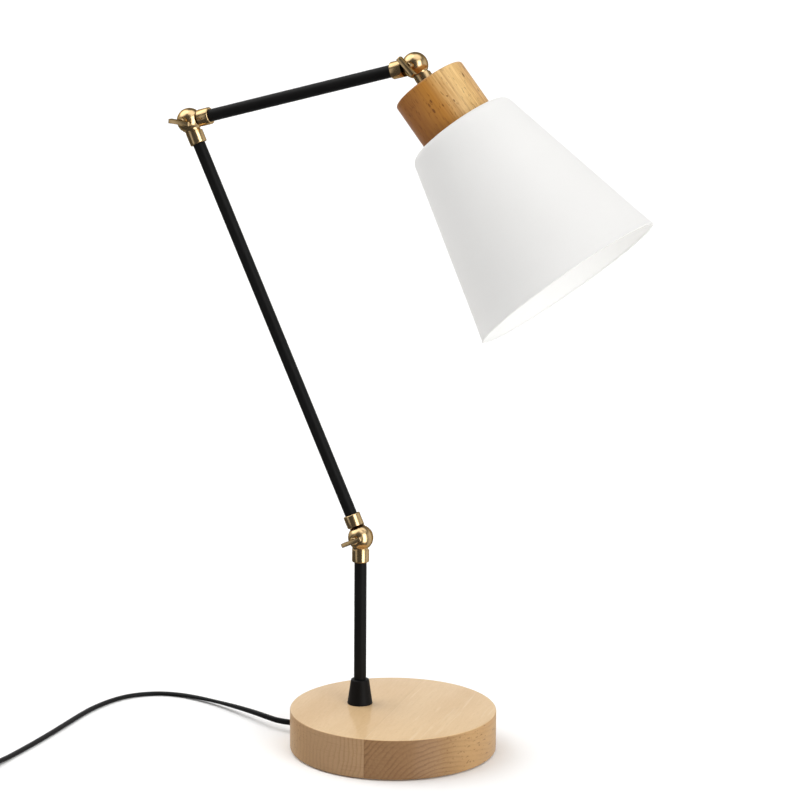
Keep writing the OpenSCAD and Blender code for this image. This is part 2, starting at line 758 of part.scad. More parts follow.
module shade_ring() {
    color("dimgray") along_head() translate([0, 0, shade_z + shade_t])
        ring(ring_d, holder_d + 2 * slip, ring_h);
}

module shade() {
    inner_rim = shade_rim_d / 2 - shade_t / cos(shade_slope);
    color("white") along_head() rotate_extrude() {
        polygon(concat(
            [[shade_hole_r, shade_z]],
            arc(shoulder_c, shoulder_r, -90, -shade_slope),
            [[shade_rim_d / 2, rim_z], [inner_rim, rim_z]],
            arc(shoulder_c, shoulder_r - shade_t, -shade_slope, -90),
            [[shade_hole_r, shade_z + shade_t]]
        ));
        translate([(shade_rim_d / 2 + inner_rim) / 2, rim_z]) circle(d = bead_d);
    }
}

module bulb_cap() {
    r = bulb_thread_d / 2;
    threads = floor((bulb_neck_z - thread_z) / thread_pitch);
    per_thread = 8;
    bore = r - thread_depth - bulb_wall;
    color("silver") along_head() turned(concat(
        [[0, bulb_z], [r / 3, bulb_z], [r / 3, bulb_z + button_t], [r - thread_depth, thread_z]],
        [for (i = [1 : threads * per_thread])
            [r - thread_depth * (1 + cos(360 * i / per_thread)) / 2, thread_z + i * thread_pitch / per_thread]],
        [[r - thread_depth, bulb_neck_z], [bore, bulb_neck_z], [bore, thread_z + bulb_wall],
            [0, thread_z + bulb_wall]]
    ));
}

// Half section of the globe: a straight neck that runs into the round without a corner
function globe_outline(inset) =
    let (r = globe_d / 2 - inset, foot = bulb_neck_r - inset)
    let (lean = acos(r / norm([foot, globe_rise])) + atan(foot / globe_rise))
    concat([[foot, bulb_neck_z]], arc([0, globe_z], r, lean - 90, 90, 24));

module bulb_globe() {
    outside = globe_outline(0);
    inside = globe_outline(bulb_wall);
    color("white") along_head()
        turned(concat(outside, [for (i = [len(inside) - 1 : -1 : 0]) inside[i]]));
}

module cord_lead() { color("black") flat_cord(smooth(lead_route, steps_per_span), true); }
module cord_link() { color("black") flat_cord(smooth(link_points, steps_per_span)); }
module cord_tail() { color("black") flat_cord(tail_points); }

module cord_coil() {
    echo(least_gap_of_the_coil = coil_gap(coil_rings()));
    color("black") tube_through(coil_rings());
}

// Strap around the coil's turns on the side away from the lead
module cord_tie() {
    low = tie_gap / 2;
    inner = coil_inner_r - cord_w / 2 - turn_gap;
    outer = coil_outer_r + cord_w / 2 + turn_gap;
    top = coil_z + layer_pitch + cord_t / 2 + tie_gap;
    color("dimgray") translate(coil_at) difference() {
        translate([-tie_w / 2, inner - tie_t, low])
            cube([tie_w, outer - inner + 2 * tie_t, top - low + tie_t]);
        translate([-tie_w / 2 - over, inner, low + tie_t])
            cube([tie_w + 2 * over, outer - inner, top - low - tie_t]);
    }
}

module switch_outline(inset = 0) {
    w = switch_w - 2 * inset;
    l = switch_l - 2 * inset;
    r = switch_round - inset;
    for (x = [-1, 1], y = [-1, 1])
        translate([x * (w / 2 - r), y * (l / 2 - r)]) circle(r = r);
    square([w - 2 * r, l], center = true);
    square([w, l - 2 * r], center = true);
}

module at_switch_screws() {
    for (side = [-1, 1])
        translate([side * switch_screw_x, side * switch_screw_y, 0]) children();
}

module switch_base() {
    color("black") translate(switch_mid) difference() {
        linear_extrude(switch_base_h) switch_outline();
        difference() {
            translate([0, 0, switch_wall]) linear_extrude(switch_base_h) switch_outline(switch_wall);
            at_switch_screws() cylinder(d = 2 * switch_screw_d, h = switch_base_h);
        }
        at_switch_screws() translate([0, 0, switch_wall])
            cylinder(d = switch_screw_d + 2 * slip, h = switch_base_h);
    }
}

module switch_cover() {
    top = switch_base_h + switch_cover_h;
    color("black") translate(switch_mid) difference() {
        translate([0, 0, switch_base_h]) linear_extrude(switch_cover_h) switch_outline();
        difference() {
            translate([0, 0, switch_base_h - over])
                linear_extrude(switch_cover_h - switch_wall + over) switch_outline(switch_wall);
            at_switch_screws() cylinder(d = 2 * switch_screw_d, h = top);
            for (side = [-1, 1])
                translate([side * (rocker_w / 2 + rocker_room + switch_wall / 2), 0, top - switch_wall])
                    cube([switch_wall, rocker_l / 2, 2 * (top - switch_wall - switch_base_h)], center = true);
        }
        translate([0, 0, top])
            cube([rocker_w + 2 * rocker_room, rocker_l + 4 * rocker_room, 4 * switch_wall], center = true);
        translate([0, 0, rocker_z]) rotate([0, 90, 0])
            cylinder(d = rocker_pin_d + 2 * run, h = rocker_pins_l + over, center = true);
        at_switch_screws() {
            cylinder(d = switch_screw_d + 2 * slip, h = top + over);
            translate([0, 0, top - switch_screw_d / 2]) cylinder(d = 2 * switch_screw_d + 2 * slip, h = top);
        }
    }
}

module switch_contacts() {
    color("gold") translate(switch_mid + [0, 0, switch_wall])
        for (side = [-1, 1])
            translate([side * contact_strip[0], -side * contact_strip[1] / 4, contact_strip[2] / 2])
                cube(contact_strip, center = true);
}

module switch_screws() {
    top = switch_base_h + switch_cover_h;
    color("silver") translate(switch_mid) at_switch_screws() {
        translate([0, 0, switch_wall]) cylinder(d = switch_screw_d, h = top - switch_wall - switch_screw_d / 2);
        translate([0, 0, top - switch_screw_d / 2]) cylinder(d = 2 * switch_screw_d, h = switch_screw_d / 2);
    }
}

module switch_rocker() {
    color("black") translate(switch_mid + [0, 0, rocker_z]) rotate([rocker_tilt, 0, 0]) {
        difference() {
            translate([-rocker_w / 2, -rocker_l / 2, -rocker_skirt])
                cube([rocker_w, rocker_l, rocker_h + rocker_skirt]);
            translate([0, 0, rocker_dish_r + rocker_h - 1]) along_x()
                cylinder(r = rocker_dish_r, h = 2 * rocker_w, center = true);
        }
        along_x() cylinder(d = rocker_pin_d, h = rocker_pins_l, center = true);
    }
}

// Plug with its cord end at the origin and its pins towards +Y
module at_plug() { translate([plug_at[0], plug_at[1], plug_at[2]]) children(); }

module plug_body() {
    shoulder = plug_w * 0.32;
    relief_r = cord_w / 2 + 1.4;
    color("black") at_plug() {
        towards_y(1) cylinder(r1 = relief_r, r2 = relief_r + 2, h = relief_l + over);
        translate([0, relief_l, 0]) difference() {
            translate([0, 0, -plug_t / 2]) linear_extrude(plug_t) polygon([
                [-shoulder, 0], [shoulder, 0], [plug_w / 2, plug_l * 0.6], [plug_w / 2, plug_l],
                [-plug_w / 2, plug_l], [-plug_w / 2, plug_l * 0.6]
            ]);
            for (side = [-1, 1])
                translate([side * pin_pitch / 2, plug_l - pin_l / 2, 0]) towards_y(1)
                    cylinder(d = pin_d + 2 * slip, h = pin_l);
        }
    }
}

module plug_pins() {
    color("silver") at_plug() for (side = [-1, 1])
        translate([side * pin_pitch / 2, relief_l + plug_l - pin_l / 2, 0]) towards_y(1) {
            cylinder(d = pin_d, h = 1.5 * pin_l - pin_d / 2);
            translate([0, 0, 1.5 * pin_l - pin_d / 2]) sphere(d = pin_d);
        }
}

wood_base();
base_pad();
base_weight();
weight_screws();
ferrule();
stem_tube();
stem_washer();
stem_nut();
cord_bushing();
lead_clamp();
clamp_screws();
base_lead();
stem_knuckle();
friction_washer_low();
thumb_screw_low();
lower_arm_foot_knuckle();
lower_arm_tube();
lower_arm_top_knuckle();
lower_arm_lead();
friction_washer_elbow();
thumb_screw_elbow();
upper_arm_rear_knuckle();
upper_arm_tube();
upper_arm_front_knuckle();
upper_arm_lead();
friction_washer_head();
thumb_screw_head();
head_knuckle();
head_lead();
head_nipple();
wood_cup();
cup_washer();
cup_nut();
lampholder_cap();
lampholder_skirt();
lampholder_disc();
lampholder_contact();
lampholder_shell();
shade_ring();
shade();
bulb_cap();
bulb_globe();
cord_lead();
switch_base();
switch_cover();
switch_contacts();
switch_screws();
switch_rocker();
cord_link();
cord_coil();
cord_tie();
cord_tail();
plug_body();
plug_pins();
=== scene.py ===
import json
import math
import bpy
from mathutils import Matrix, Vector


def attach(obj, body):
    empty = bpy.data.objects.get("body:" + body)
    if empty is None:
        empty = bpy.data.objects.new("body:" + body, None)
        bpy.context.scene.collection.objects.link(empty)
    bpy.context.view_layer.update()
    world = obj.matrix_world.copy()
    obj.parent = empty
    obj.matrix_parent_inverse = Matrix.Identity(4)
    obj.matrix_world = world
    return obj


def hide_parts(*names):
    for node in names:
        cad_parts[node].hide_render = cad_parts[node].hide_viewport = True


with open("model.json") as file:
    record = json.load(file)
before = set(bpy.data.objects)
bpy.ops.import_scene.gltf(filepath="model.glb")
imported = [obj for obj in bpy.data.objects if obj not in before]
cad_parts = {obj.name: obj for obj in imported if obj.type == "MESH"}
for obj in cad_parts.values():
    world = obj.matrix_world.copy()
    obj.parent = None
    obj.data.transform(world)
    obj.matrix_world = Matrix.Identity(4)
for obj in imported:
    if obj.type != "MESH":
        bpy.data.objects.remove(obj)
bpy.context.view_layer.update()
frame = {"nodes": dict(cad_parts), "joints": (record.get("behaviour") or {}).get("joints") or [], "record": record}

mm = 0.001
scene = bpy.context.scene
nodes = frame["nodes"]
jointAt = {joint["name"]: Vector(joint["pos_m"]) for joint in frame["joints"]}
print("frame loaded,", len(nodes), "nodes")

# camera, read off the photograph's own outlines
view = {"place": (0.95793, -2.14175, 0.78647), "azimuth": 24.0, "elevation": 11.48, "roll": 0.42,
        "focalPixels": 2806.3, "framePixels": 800, "sensor": 36.0, "clip": (0.05, 100)}


def turnedBy(degrees, axis="Y"):
    return Matrix.Rotation(math.radians(degrees), 4, axis)


def makeCamera():
    lens = bpy.data.cameras.new("photoLens")
    lens.sensor_width = view["sensor"]
    lens.lens = view["sensor"] * view["focalPixels"] / view["framePixels"]
    lens.clip_start, lens.clip_end = view["clip"]
    camera = bpy.data.objects.new("photoCamera", lens)
    scene.collection.objects.link(camera)
    turn = turnedBy(view["azimuth"], "Z") @ turnedBy(90 - view["elevation"], "X") @ turnedBy(view["roll"], "Z")
    camera.matrix_world = Matrix.Translation(view["place"]) @ turn
    scene.camera = camera


makeCamera()

# small tools used for every piece


def deselectAll():
    if bpy.context.object and bpy.context.object.mode != "OBJECT":
        bpy.ops.object.mode_set(mode="OBJECT")
    bpy.ops.object.select_all(action="DESELECT")


def pick(piece):
    deselectAll()
    piece.select_set(True)
    bpy.context.view_layer.objects.active = piece


def added(name, form, **settings):
    deselectAll()
    form(**settings)
    piece = bpy.context.object
    piece.name = piece.data.name = name
    return piece


def editing(piece, mode="VERT", start="DESELECT"):
    pick(piece)
    bpy.ops.object.mode_set(mode="EDIT")
    bpy.ops.mesh.select_mode(type=mode)
    bpy.ops.mesh.select_all(action=start)


def chooseIn(piece, kind, test):    # test sees a vertex's place, an edge's two ends, or a face's middle and normal
    bpy.ops.object.mode_set(mode="OBJECT")
    mesh = piece.data
    for part in list(mesh.vertices) + list(mesh.edges) + list(mesh.polygons):
        part.select = False
    for part in getattr(mesh, kind):
        if kind == "edges":
            seen = [mesh.vertices[i].co for i in part.vertices]
        else:
            seen = [part.co] if kind == "vertices" else [part.center, part.normal]
        part.select = bool(test(*seen))
    bpy.ops.object.mode_set(mode="EDIT")


def doneEditing(piece):
    bpy.ops.mesh.select_all(action="SELECT")
    bpy.ops.mesh.remove_doubles(threshold=1e-6)
    bpy.ops.mesh.normals_make_consistent()
    bpy.ops.object.mode_set(mode="OBJECT")
    return piece


def arc(middle, radius, start, end, steps):    # angles in degrees
    turns = [math.radians(start + (end - start) * i / steps) for i in range(steps + 1)]
    return [(middle[0] + radius * math.cos(t), middle[1] + radius * math.sin(t)) for t in turns]


def spun(name, outline, steps, place=None):    # outline is (radius, height) in mm, turned about Z
    piece = added(name, bpy.ops.mesh.primitive_plane_add, size=2 * mm)
    editing(piece, start="SELECT")
    bpy.ops.mesh.merge(type="CENTER")
    bpy.ops.transform.translate(value=(outline[0][0] * mm, 0, outline[0][1] * mm))
    for (r, z), (nextR, nextZ) in zip(outline, outline[1:]):
        move = ((nextR - r) * mm, 0, (nextZ - z) * mm)
        bpy.ops.mesh.extrude_vertices_move(TRANSFORM_OT_translate={"value": move})
    bpy.ops.mesh.select_all(action="SELECT")
    bpy.ops.mesh.spin(steps=steps, angle=2 * math.pi, center=(0, 0, 0), axis=(0, 0, 1))
    return settle(doneEditing(piece), place)


def settle(piece, place=None):    # puts the place into the mesh, so that the object sits at the origin
    if place is not None:
        piece.matrix_world = place
    pick(piece)
    bpy.ops.object.transform_apply()
    return piece


def block(name, size, middle=(0, 0, 0)):
    piece = added(name, bpy.ops.mesh.primitive_cube_add, size=1, location=[v * mm for v in middle])
    piece.scale = [v * mm for v in size]
    return settle(piece)


def cylinder(name, radius, depth, middle=(0, 0, 0), turn=(0, 0, 0), sides=48):
    return settle(added(name, bpy.ops.mesh.primitive_cylinder_add, vertices=sides, radius=radius * mm,
                        depth=depth * mm, location=[v * mm for v in middle], rotation=turn))


def applied(piece, kind, **settings):
    pick(piece)
    change = piece.modifiers.new(kind.lower(), kind)
    for key, value in settings.items():
        setattr(change, key, value)
    bpy.ops.object.modifier_apply(modifier=change.name)
    return piece


def joinedTo(piece, tool, operation="UNION"):
    applied(piece, "BOOLEAN", object=tool, operation=operation, solver="EXACT")
    bpy.data.objects.remove(tool)
    return piece


def cutBy(piece, *tools):
    for tool in tools:
        joinedTo(piece, tool, "DIFFERENCE")


def gathered(pieces):    # one object of several that stay apart
    pick(pieces[0])
    for other in pieces[1:]:
        other.select_set(True)
    bpy.ops.object.join()
    return pieces[0]


def standing(a, b):    # an upright edge
    return abs(a.z - b.z) > 1 * mm


def roundedAt(piece, test, width, segments):    # rounds the edges that the test chooses
    editing(piece, "EDGE")
    chooseIn(piece, "edges", test)
    bpy.ops.mesh.bevel(offset=width * mm, segments=segments, affect="EDGES")
    return doneEditing(piece)


def softEdges(piece, width, segments=2, angle=35):
    return applied(piece, "BEVEL", width=width * mm, segments=segments, limit_method="ANGLE",
                   angle_limit=math.radians(angle))


def copyOf(piece, name):
    twin = piece.copy()
    twin.data = piece.data.copy()
    twin.name = twin.data.name = name
    scene.collection.objects.link(twin)
    return twin


def finished(piece, angle, body, slot, *replaced):    # smooth up to the angle
    pick(piece)
    bpy.ops.object.shade_smooth_by_angle(angle=math.radians(angle))
    piece.data.materials.clear()
    piece.data.materials.append(finishes[slot])
    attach(piece, body)
    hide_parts(*replaced)
    return piece


def movedTo(x, y, z=0):
    return Matrix.Translation(Vector((x, y, z)) * mm)


# the pose that the photograph shows
pose = {"lowerLean": 25, "upperLean": 75.2, "headSwing": 38.7, "lowHandle": 25, "elbowHandle": -5, "headHandle": -44}
atLow, atElbow, atHead = (Matrix.Translation(jointAt[name]) for name in ("stem_joint", "elbow_joint", "head_joint"))
upLower = atLow @ turnedBy(-pose["lowerLean"])
downLower = atElbow @ turnedBy(180 - pose["lowerLean"])
outUpper = atElbow @ turnedBy(pose["upperLean"])
backUpper = atHead @ turnedBy(180 + pose["upperLean"])
alongHead = atHead @ turnedBy(180 - pose["headSwing"])
downStem = atLow @ turnedBy(180)
headTurn = math.radians(180 - pose["headSwing"])
towardsNear, towardsFar = turnedBy(90, "X"), turnedBy(-90, "X")    # lay Z along -Y or +Y
acrossX = (0, math.pi / 2, 0)    # lays Z along X
skyward = (0.0, 0.0, 1.0)


class Wire:    # a socket that takes part in sums
    def __init__(self, tree, socket):
        self.tree, self.socket = tree, socket

    def node(self, kind, settings=None, out=0, **sockets):    # settings first, then values or links
        made = self.tree.nodes.new(kind)
        for key, value in (settings or {}).items():
            setattr(made, key, value)
        for key, value in sockets.items():
            number = key[1:]
            feed(made.inputs[int(number) if number.isdigit() else key.replace("_", " ")], value)
        return Wire(self.tree, made.outputs[out])

    def sum(self, operation, first, second=0.0):
        return self.node("ShaderNodeMath", {"operation": operation}, i0=first, i1=second)

    def step(self, low, high):    # 0 below low, 1 above high, smooth between
        return self.node("ShaderNodeMapRange", {"interpolation_type": "SMOOTHSTEP"}, Value=self,
                         From_Min=low, From_Max=high)

    def mixed(self, first, second):    # this wire is the share of second
        return self.node("ShaderNodeMix", {"data_type": "RGBA"}, 2, i0=self, i6=first, i7=second)

    def turned(self, angles=(0, 0, 0), sizes=(1, 1, 1), move=(0, 0, 0)):
        return self.node("ShaderNodeMapping", Vector=self, Location=move, Rotation=angles, Scale=sizes)

    def noise(self, scale, detail=2.0, roughness=0.5, distortion=0.0):
        return self.node("ShaderNodeTexNoise", Vector=self, Scale=scale, Detail=detail, Roughness=roughness,
                         Distortion=distortion)

    def cells(self, scale, out=0):
        return self.node("ShaderNodeTexVoronoi", None, out, Vector=self, Scale=scale)

    def along(self, direction):
        return self.node("ShaderNodeVectorMath", {"operation": "DOT_PRODUCT"}, 1, i0=self, i1=direction)

    def bumped(self, depth, strength):
        return self.node("ShaderNodeBump", Height=self, Strength=strength, Distance=depth)


def signFor(operation, swapped=False):
    return lambda a, b: a.sum(operation, b, a) if swapped else a.sum(operation, a, b)


for sign, operation in (("add", "ADD"), ("radd", "ADD"), ("sub", "SUBTRACT"), ("mul", "MULTIPLY"),
                        ("truediv", "DIVIDE"), ("pow", "POWER"), ("gt", "GREATER_THAN")):
    setattr(Wire, f"__{sign}__", signFor(operation))
Wire.__rsub__ = signFor("SUBTRACT", True)


def feed(socket, value):    # links what varies, and sets what doesn't on the node itself
    if isinstance(value, Wire):
        value.tree.links.new(value.socket, socket)
    else:
        socket.default_value = (*value, 1.0) if socket.type == "RGBA" else value


def coordinates(tree, kind):
    return Wire(tree, tree.nodes.new("ShaderNodeTexCoord").outputs[kind])


def surface(name):
    made = bpy.data.materials.new(name)
    made.use_nodes = True
    return made, coordinates(made.node_tree, "Object")


def dressed(made, **sockets):
    shader = next(n for n in made.node_tree.nodes if n.type == "BSDF_PRINCIPLED")
    for key, value in sockets.items():
        feed(shader.inputs[key.replace("_", " ")], value)
    return made


def layered(colour, tints, *layers):    # each layer is a share, and the name of the tint that it brings
    for share, tint in layers:
        colour = share.mixed(colour, tints[tint])
    return colour


# beech: growth rings about an axis along the grain, fine fibres, and short dark ray flecks
def beechBase():
    wood = {"seamTurn": 97.24, "seamShift": 1.8 * mm, "seamEdge": (0.1 * mm, 0.45 * mm), "ringWidth": 4.1 * mm,
            "wander": 0.008, "uneven": 0.011, "leftPith": (-0.145, 0.03), "rightPith": (0.064, -0.024),
            "top": (0.755, 0.54, 0.305), "topWarm": (0.63, 0.412, 0.208), "streak": (0.82, 0.635, 0.405),
            "wall": (0.59, 0.375, 0.17), "wallWarm": (0.44, 0.245, 0.095), "endLeft": (0.40, 0.245, 0.128),
            "end": (0.275, 0.147, 0.066), "line": (0.13, 0.06, 0.025), "fleck": (0.12, 0.05, 0.02),
            "relief": 0.04 * mm}
    made, place = surface("lacqueredBeech")
    turn = math.radians(wood["seamTurn"])
    grain = (math.cos(turn), math.sin(turn), 0.0)
    across = (math.sin(turn), -math.cos(turn), 0.0)
    u = place.along(across) - wood["seamShift"]
    z = place.along(skyward)
    right = u > 0.0
    facing = coordinates(place.tree, "Normal")
    onTop = facing.along(skyward).step(0.45, 0.85)
    endGrain = place.sum("ABSOLUTE", facing.along(grain)).step(0.35, 0.95) * (1 - onTop)
    lengthwise = place.turned(angles=(0, 0, -turn))

    def drawn(share, *settings):    # noise drawn out along the grain
        return lengthwise.turned(sizes=(share, 1, 1)).noise(*settings)

    def ringsAbout(pith):
        du, dz = u - pith[0], z - pith[1]
        return (du * du + dz * dz) ** 0.5

    wander = place.turned(sizes=(9, 3, 14)).noise(3.0, 3.0) - 0.5
    uneven = drawn(0.15, 26.0, 3.0) - 0.5
    ring = ringsAbout(wood["rightPith"]) * right + ringsAbout(wood["leftPith"]) * (1 - right)
    share = place.sum("FRACT", (ring + wander * wood["wander"] + uneven * wood["uneven"]) / wood["ringWidth"])
    faded = place.turned(sizes=(1, 1, 0.5)).noise(38.0, 2.0).step(0.34, 0.66)
    line = share.step(0.4, 0.85) * (1 - share.step(0.87, 1.0)) * (faded * 0.75 + 0.25)
    fibre = drawn(0.07, 1100.0, 3.0, 0.7)
    cloud = drawn(0.3, 24.0, 4.0)
    streak = drawn(0.07, 210.0, 2.0).step(0.56, 0.74) * right
    dashes = drawn(0.16, 560.0, 1.0).step(0.635, 0.70)
    pores = place.noise(520.0, 4.0, 0.75)
    toolMarks = place.turned(sizes=(0.03, 0.03, 1)).noise(1300.0, 2.0, 0.6)    # left by turning the rim
    seam = 1 - place.sum("ABSOLUTE", u).step(*wood["seamEdge"])
    warm = cloud * 0.7 + fibre * 0.35 + pores * 0.35 - right * 0.05 - 0.18
    # the top's tints are paler and less saturated than the wall's: beech colour with painted sheen on the top
    top = warm.step(0.2, 0.85).mixed(wood["top"], wood["topWarm"])
    side = (cloud * 0.7 + fibre * 0.2 + pores * 0.2).step(0.2, 0.8).mixed(wood["wall"], wood["wallWarm"])
    top = (streak * 0.42).mixed(top, wood["streak"])
    side = (endGrain * (0.62 + pores * 0.6)).mixed(side, right.mixed(wood["endLeft"], wood["end"]))
    side = (toolMarks.step(0.5, 0.8) * endGrain * 0.2).mixed(side, wood["line"])
    lines = line * (0.10 + endGrain * 0.14 + endGrain * right * 0.2) * (1 - onTop * 0.8)
    flecks = dashes * (1 - endGrain * 0.8) * (0.55 - onTop * 0.50)
    colour = layered(onTop.mixed(side, top), wood, (lines, "line"), (flecks, "fleck"),
                     (seam * (0.34 - onTop * 0.22), "line"))
    height = fibre * 0.4 - dashes * 0.5 - line * 0.2 - seam * 0.8 + toolMarks * endGrain * 0.5
    gloss = cloud * 0.12 + fibre * 0.06 + endGrain * 0.08 + 0.42
    return dressed(made, Base_Color=colour, Roughness=gloss, Normal=height.bumped(wood["relief"], 0.35),
                   Coat_Weight=onTop * 0.36 + 0.14, Coat_Roughness=0.13, Specular_IOR_Level=0.25)


def inHead(place):    # places along the head's own axis, from its joint
    return place.turned(move=tuple(-jointAt["head_joint"])).turned(angles=(0, -headTurn, 0))


def beechCup():
    # dark is painted shade on the left and random wood tone; light is a painted highlight band right of the middle
    wood = {"dark": (0.265, 0.10, 0.022), "middle": (0.45, 0.197, 0.036), "light": (0.82, 0.575, 0.26),
            "fleck": (0.10, 0.032, 0.008), "line": (0.24, 0.088, 0.02), "end": (0.36, 0.15, 0.035),
            "pith": (-0.075, -0.034), "ringWidth": 5.2 * mm, "wander": 0.012, "front": (-0.368, -0.930, 0.0),
            "groupAside": 1 * mm, "groupDown": 47 * mm, "groupWide": 13 * mm, "groupHigh": 8 * mm,
            "knots": 340.0, "relief": 0.05 * mm}
    made, place = surface("oiledBeech")
    local = inHead(place)

    def drawn(share, *settings):    # noise drawn out along the axis
        return local.turned(sizes=(1, 1, share)).noise(*settings)

    x = local.along((1.0, 0.0, 0.0)) - wood["pith"][0]
    y = local.along((0.0, 1.0, 0.0)) - wood["pith"][1]
    wander = drawn(0.2, 30.0, 3.0) - 0.5
    share = place.sum("FRACT", ((x * x + y * y) ** 0.5 + wander * wood["wander"]) / wood["ringWidth"])
    line = share.step(0.55, 0.9) * (1 - share.step(0.92, 1.0))
    fibre = drawn(0.05, 2600.0, 2.0, 0.6)
    streak = drawn(0.06, 620.0, 3.0, 0.65)
    cloud = drawn(0.35, 55.0, 4.0)
    ox, oy = wood["front"][:2]
    sideways = local.along((oy, -ox, 0.0)) + wander * 0.008
    front = local.along(wood["front"]) > 0.0
    # on the half that faces the front: right marks a painted highlight band, left marks painted shade
    right = sideways.step(-0.005, 0.018) * (1 - sideways.step(0.022, 0.038) * 0.7) * front
    left = (1 - sideways.step(-0.030, 0.004)) * front
    groupX = (sideways - wood["groupAside"]) / wood["groupWide"]
    groupZ = (local.along(skyward) - wood["groupDown"]) / wood["groupHigh"]
    group = (1 - (groupX * groupX + groupZ * groupZ).step(0.5, 1.1)) * front
    fleck = (drawn(0.2, 820.0, 1.0) + left * 0.03).step(0.63, 0.70)
    spots = local.turned(sizes=(1, 1, 0.45))
    chosen = place.node("ShaderNodeSeparateColor", Color=spots.cells(wood["knots"], 1))
    knot = (1 - spots.cells(wood["knots"]).step(0.24, 0.38)) * (chosen + group * 0.34).step(0.95, 0.98)
    axis = (math.sin(headTurn), 0.0, math.cos(headTurn))
    endGrain = place.sum("ABSOLUTE", coordinates(place.tree, "Normal").along(axis)).step(0.35, 0.95)
    tone = cloud * 0.5 + streak * 1.0 + fibre * 0.2 - 0.35
    # the light tint on the right is a painted highlight and the dark tint on the left is painted shade; the rest is
    # wood tone, ring lines, end grain, flecks and knots
    colour = layered(wood["middle"], wood, (left * 0.85 + tone.step(0.25, 0.8) * 0.34 - 0.08, "dark"),
                     (right * (1.0 - tone.step(0.25, 0.75) * 0.55), "light"), (line * 0.22, "line"),
                     (endGrain * 0.5, "end"), (fleck * 0.45, "fleck"), (knot * 0.72, "fleck"))
    height = fibre * 0.5 + streak * 0.4 - fleck * 0.8 - knot * 0.8
    gloss = 0.38 + cloud * 0.12 + fibre * 0.06
    return dressed(made, Base_Color=colour, Roughness=gloss, Normal=height.bumped(wood["relief"], 0.4),
                   Coat_Weight=0.16, Coat_Roughness=0.28, Specular_IOR_Level=0.12)


def satinBrass():
    metal = {"light": (0.66, 0.48, 0.265), "dark": (0.56, 0.39, 0.195), "speck": (0.30, 0.19, 0.08),
             "rim": (0.12, 0.095, 0.065), "rubbing": (0.4, 0.7, 0.2), "relief": 0.006 * mm}
    made, place = surface("satinBrass")
    cloud = place.noise(120.0, 3.0)
    rubbed = place.turned(angles=metal["rubbing"], sizes=(1, 0.06, 1)).noise(4200.0, 2.0, 0.6)
    speck = place.noise(1900.0, 2.0, 0.6)
    colour = (cloud * 0.8 + rubbed * 0.2).step(0.25, 0.8).mixed(metal["light"], metal["dark"])
    colour = (speck.step(0.68, 0.8) * 0.2).mixed(colour, metal["speck"])
    gloss = 0.17 + cloud * 0.08 + rubbed * 0.06
    height = rubbed + speck * 0.5
    return dressed(made, Base_Color=colour, Metallic=1.0, Roughness=gloss, Normal=height.bumped(metal["relief"], 0.2),
                   Specular_Tint=metal["rim"])    # dull at the rims


def blackCoat():
    paint = {"dark": (0.0036, 0.0035, 0.0035), "light": (0.0072, 0.0068, 0.0068), "relief": 0.02 * mm}
    made, place = surface("blackPowderCoat")
    grainy = place.noise(2600.0, 3.0, 0.65)
    cloud = place.noise(45.0, 3.0)
    colour = (cloud * 0.7 + grainy * 0.4).step(0.2, 0.9).mixed(paint["dark"], paint["light"])
    return dressed(made, Base_Color=colour, Roughness=0.42 + cloud * 0.1 + grainy * 0.1,
                   Normal=grainy.bumped(paint["relief"], 0.4), Specular_IOR_Level=0.12)


def whiteCoat():
    paint = {"light": (0.79, 0.785, 0.775), "dark": (0.765, 0.76, 0.75), "inner": (0.93, 0.928, 0.918),
             "relief": 0.025 * mm}
    made, place = surface("whitePowderCoat")
    peel = place.noise(900.0, 3.0, 0.55)
    grainy = place.noise(3600.0, 2.0, 0.6)
    cloud = place.noise(14.0, 3.0)
    facing = coordinates(place.tree, "Normal").turned(angles=(0, -headTurn, 0))
    inner = 1 - (facing.along(inHead(place).turned(sizes=(1, 1, 0))) > 0.0)
    colour = (cloud * 0.8 + peel * 0.2).step(0.2, 0.85).mixed(paint["light"], paint["dark"])
    # the inside of the shade gets a brighter white than the outside: painted light for the bright inside
    colour = inner.mixed(colour, paint["inner"])
    return dressed(made, Base_Color=colour, Roughness=0.50 + cloud * 0.08 + grainy * 0.08, Specular_IOR_Level=0.2,
                   Normal=(peel + grainy * 0.6).bumped(paint["relief"], 0.3))


def mottled(name, light, dark, gloss, scale, depth, metal=0.0, fine=2400.0, strength=0.5, **constants):
    made, place = surface(name)
    cloud = place.noise(scale, 3.0)
    grainy = place.noise(fine, 3.0, 0.6)
    colour = (cloud * 0.75 + grainy * 0.35).step(0.2, 0.9).mixed(light, dark)
    return dressed(made, Base_Color=colour, Metallic=metal, Roughness=gloss[0] + cloud * gloss[1] + grainy * gloss[1],
                   Normal=grainy.bumped(depth * mm, strength), **constants)


def felted():
    felt = {"dark": (0.018, 0.018, 0.019), "light": (0.06, 0.06, 0.062), "relief": 0.3 * mm}
    made, place = surface("darkFelt")
    hairs = place.noise(1500.0, 5.0, 0.7, 1.5)
    tufts = place.cells(700.0)
    colour = (hairs * 0.8 + tufts * 0.4).step(0.2, 0.9).mixed(felt["dark"], felt["light"])
    return dressed(made, Base_Color=colour, Roughness=0.88 + hairs * 0.1, Sheen_Weight=0.3,
                   Normal=(hairs + tufts * 0.5).bumped(felt["relief"], 0.6))


def wovenStrap():
    cloth = {"dark": (0.011, 0.011, 0.012), "light": (0.045, 0.045, 0.048), "threads": 340.0,
             "relief": 0.15 * mm}
    made, place = surface("wovenStrap")
    across, along = (place.node("ShaderNodeTexWave", {"wave_type": "BANDS", "bands_direction": way}, 1, Vector=place,
                                Scale=cloth["threads"], Distortion=0.4) for way in ("X", "Y"))
    fuzz = place.noise(2600.0, 3.0, 0.7)
    weave = across * along + fuzz * 0.4
    colour = weave.step(0.1, 1.0).mixed(cloth["dark"], cloth["light"])
    return dressed(made, Base_Color=colour, Roughness=0.72 + fuzz * 0.15, Normal=weave.bumped(cloth["relief"], 0.6))


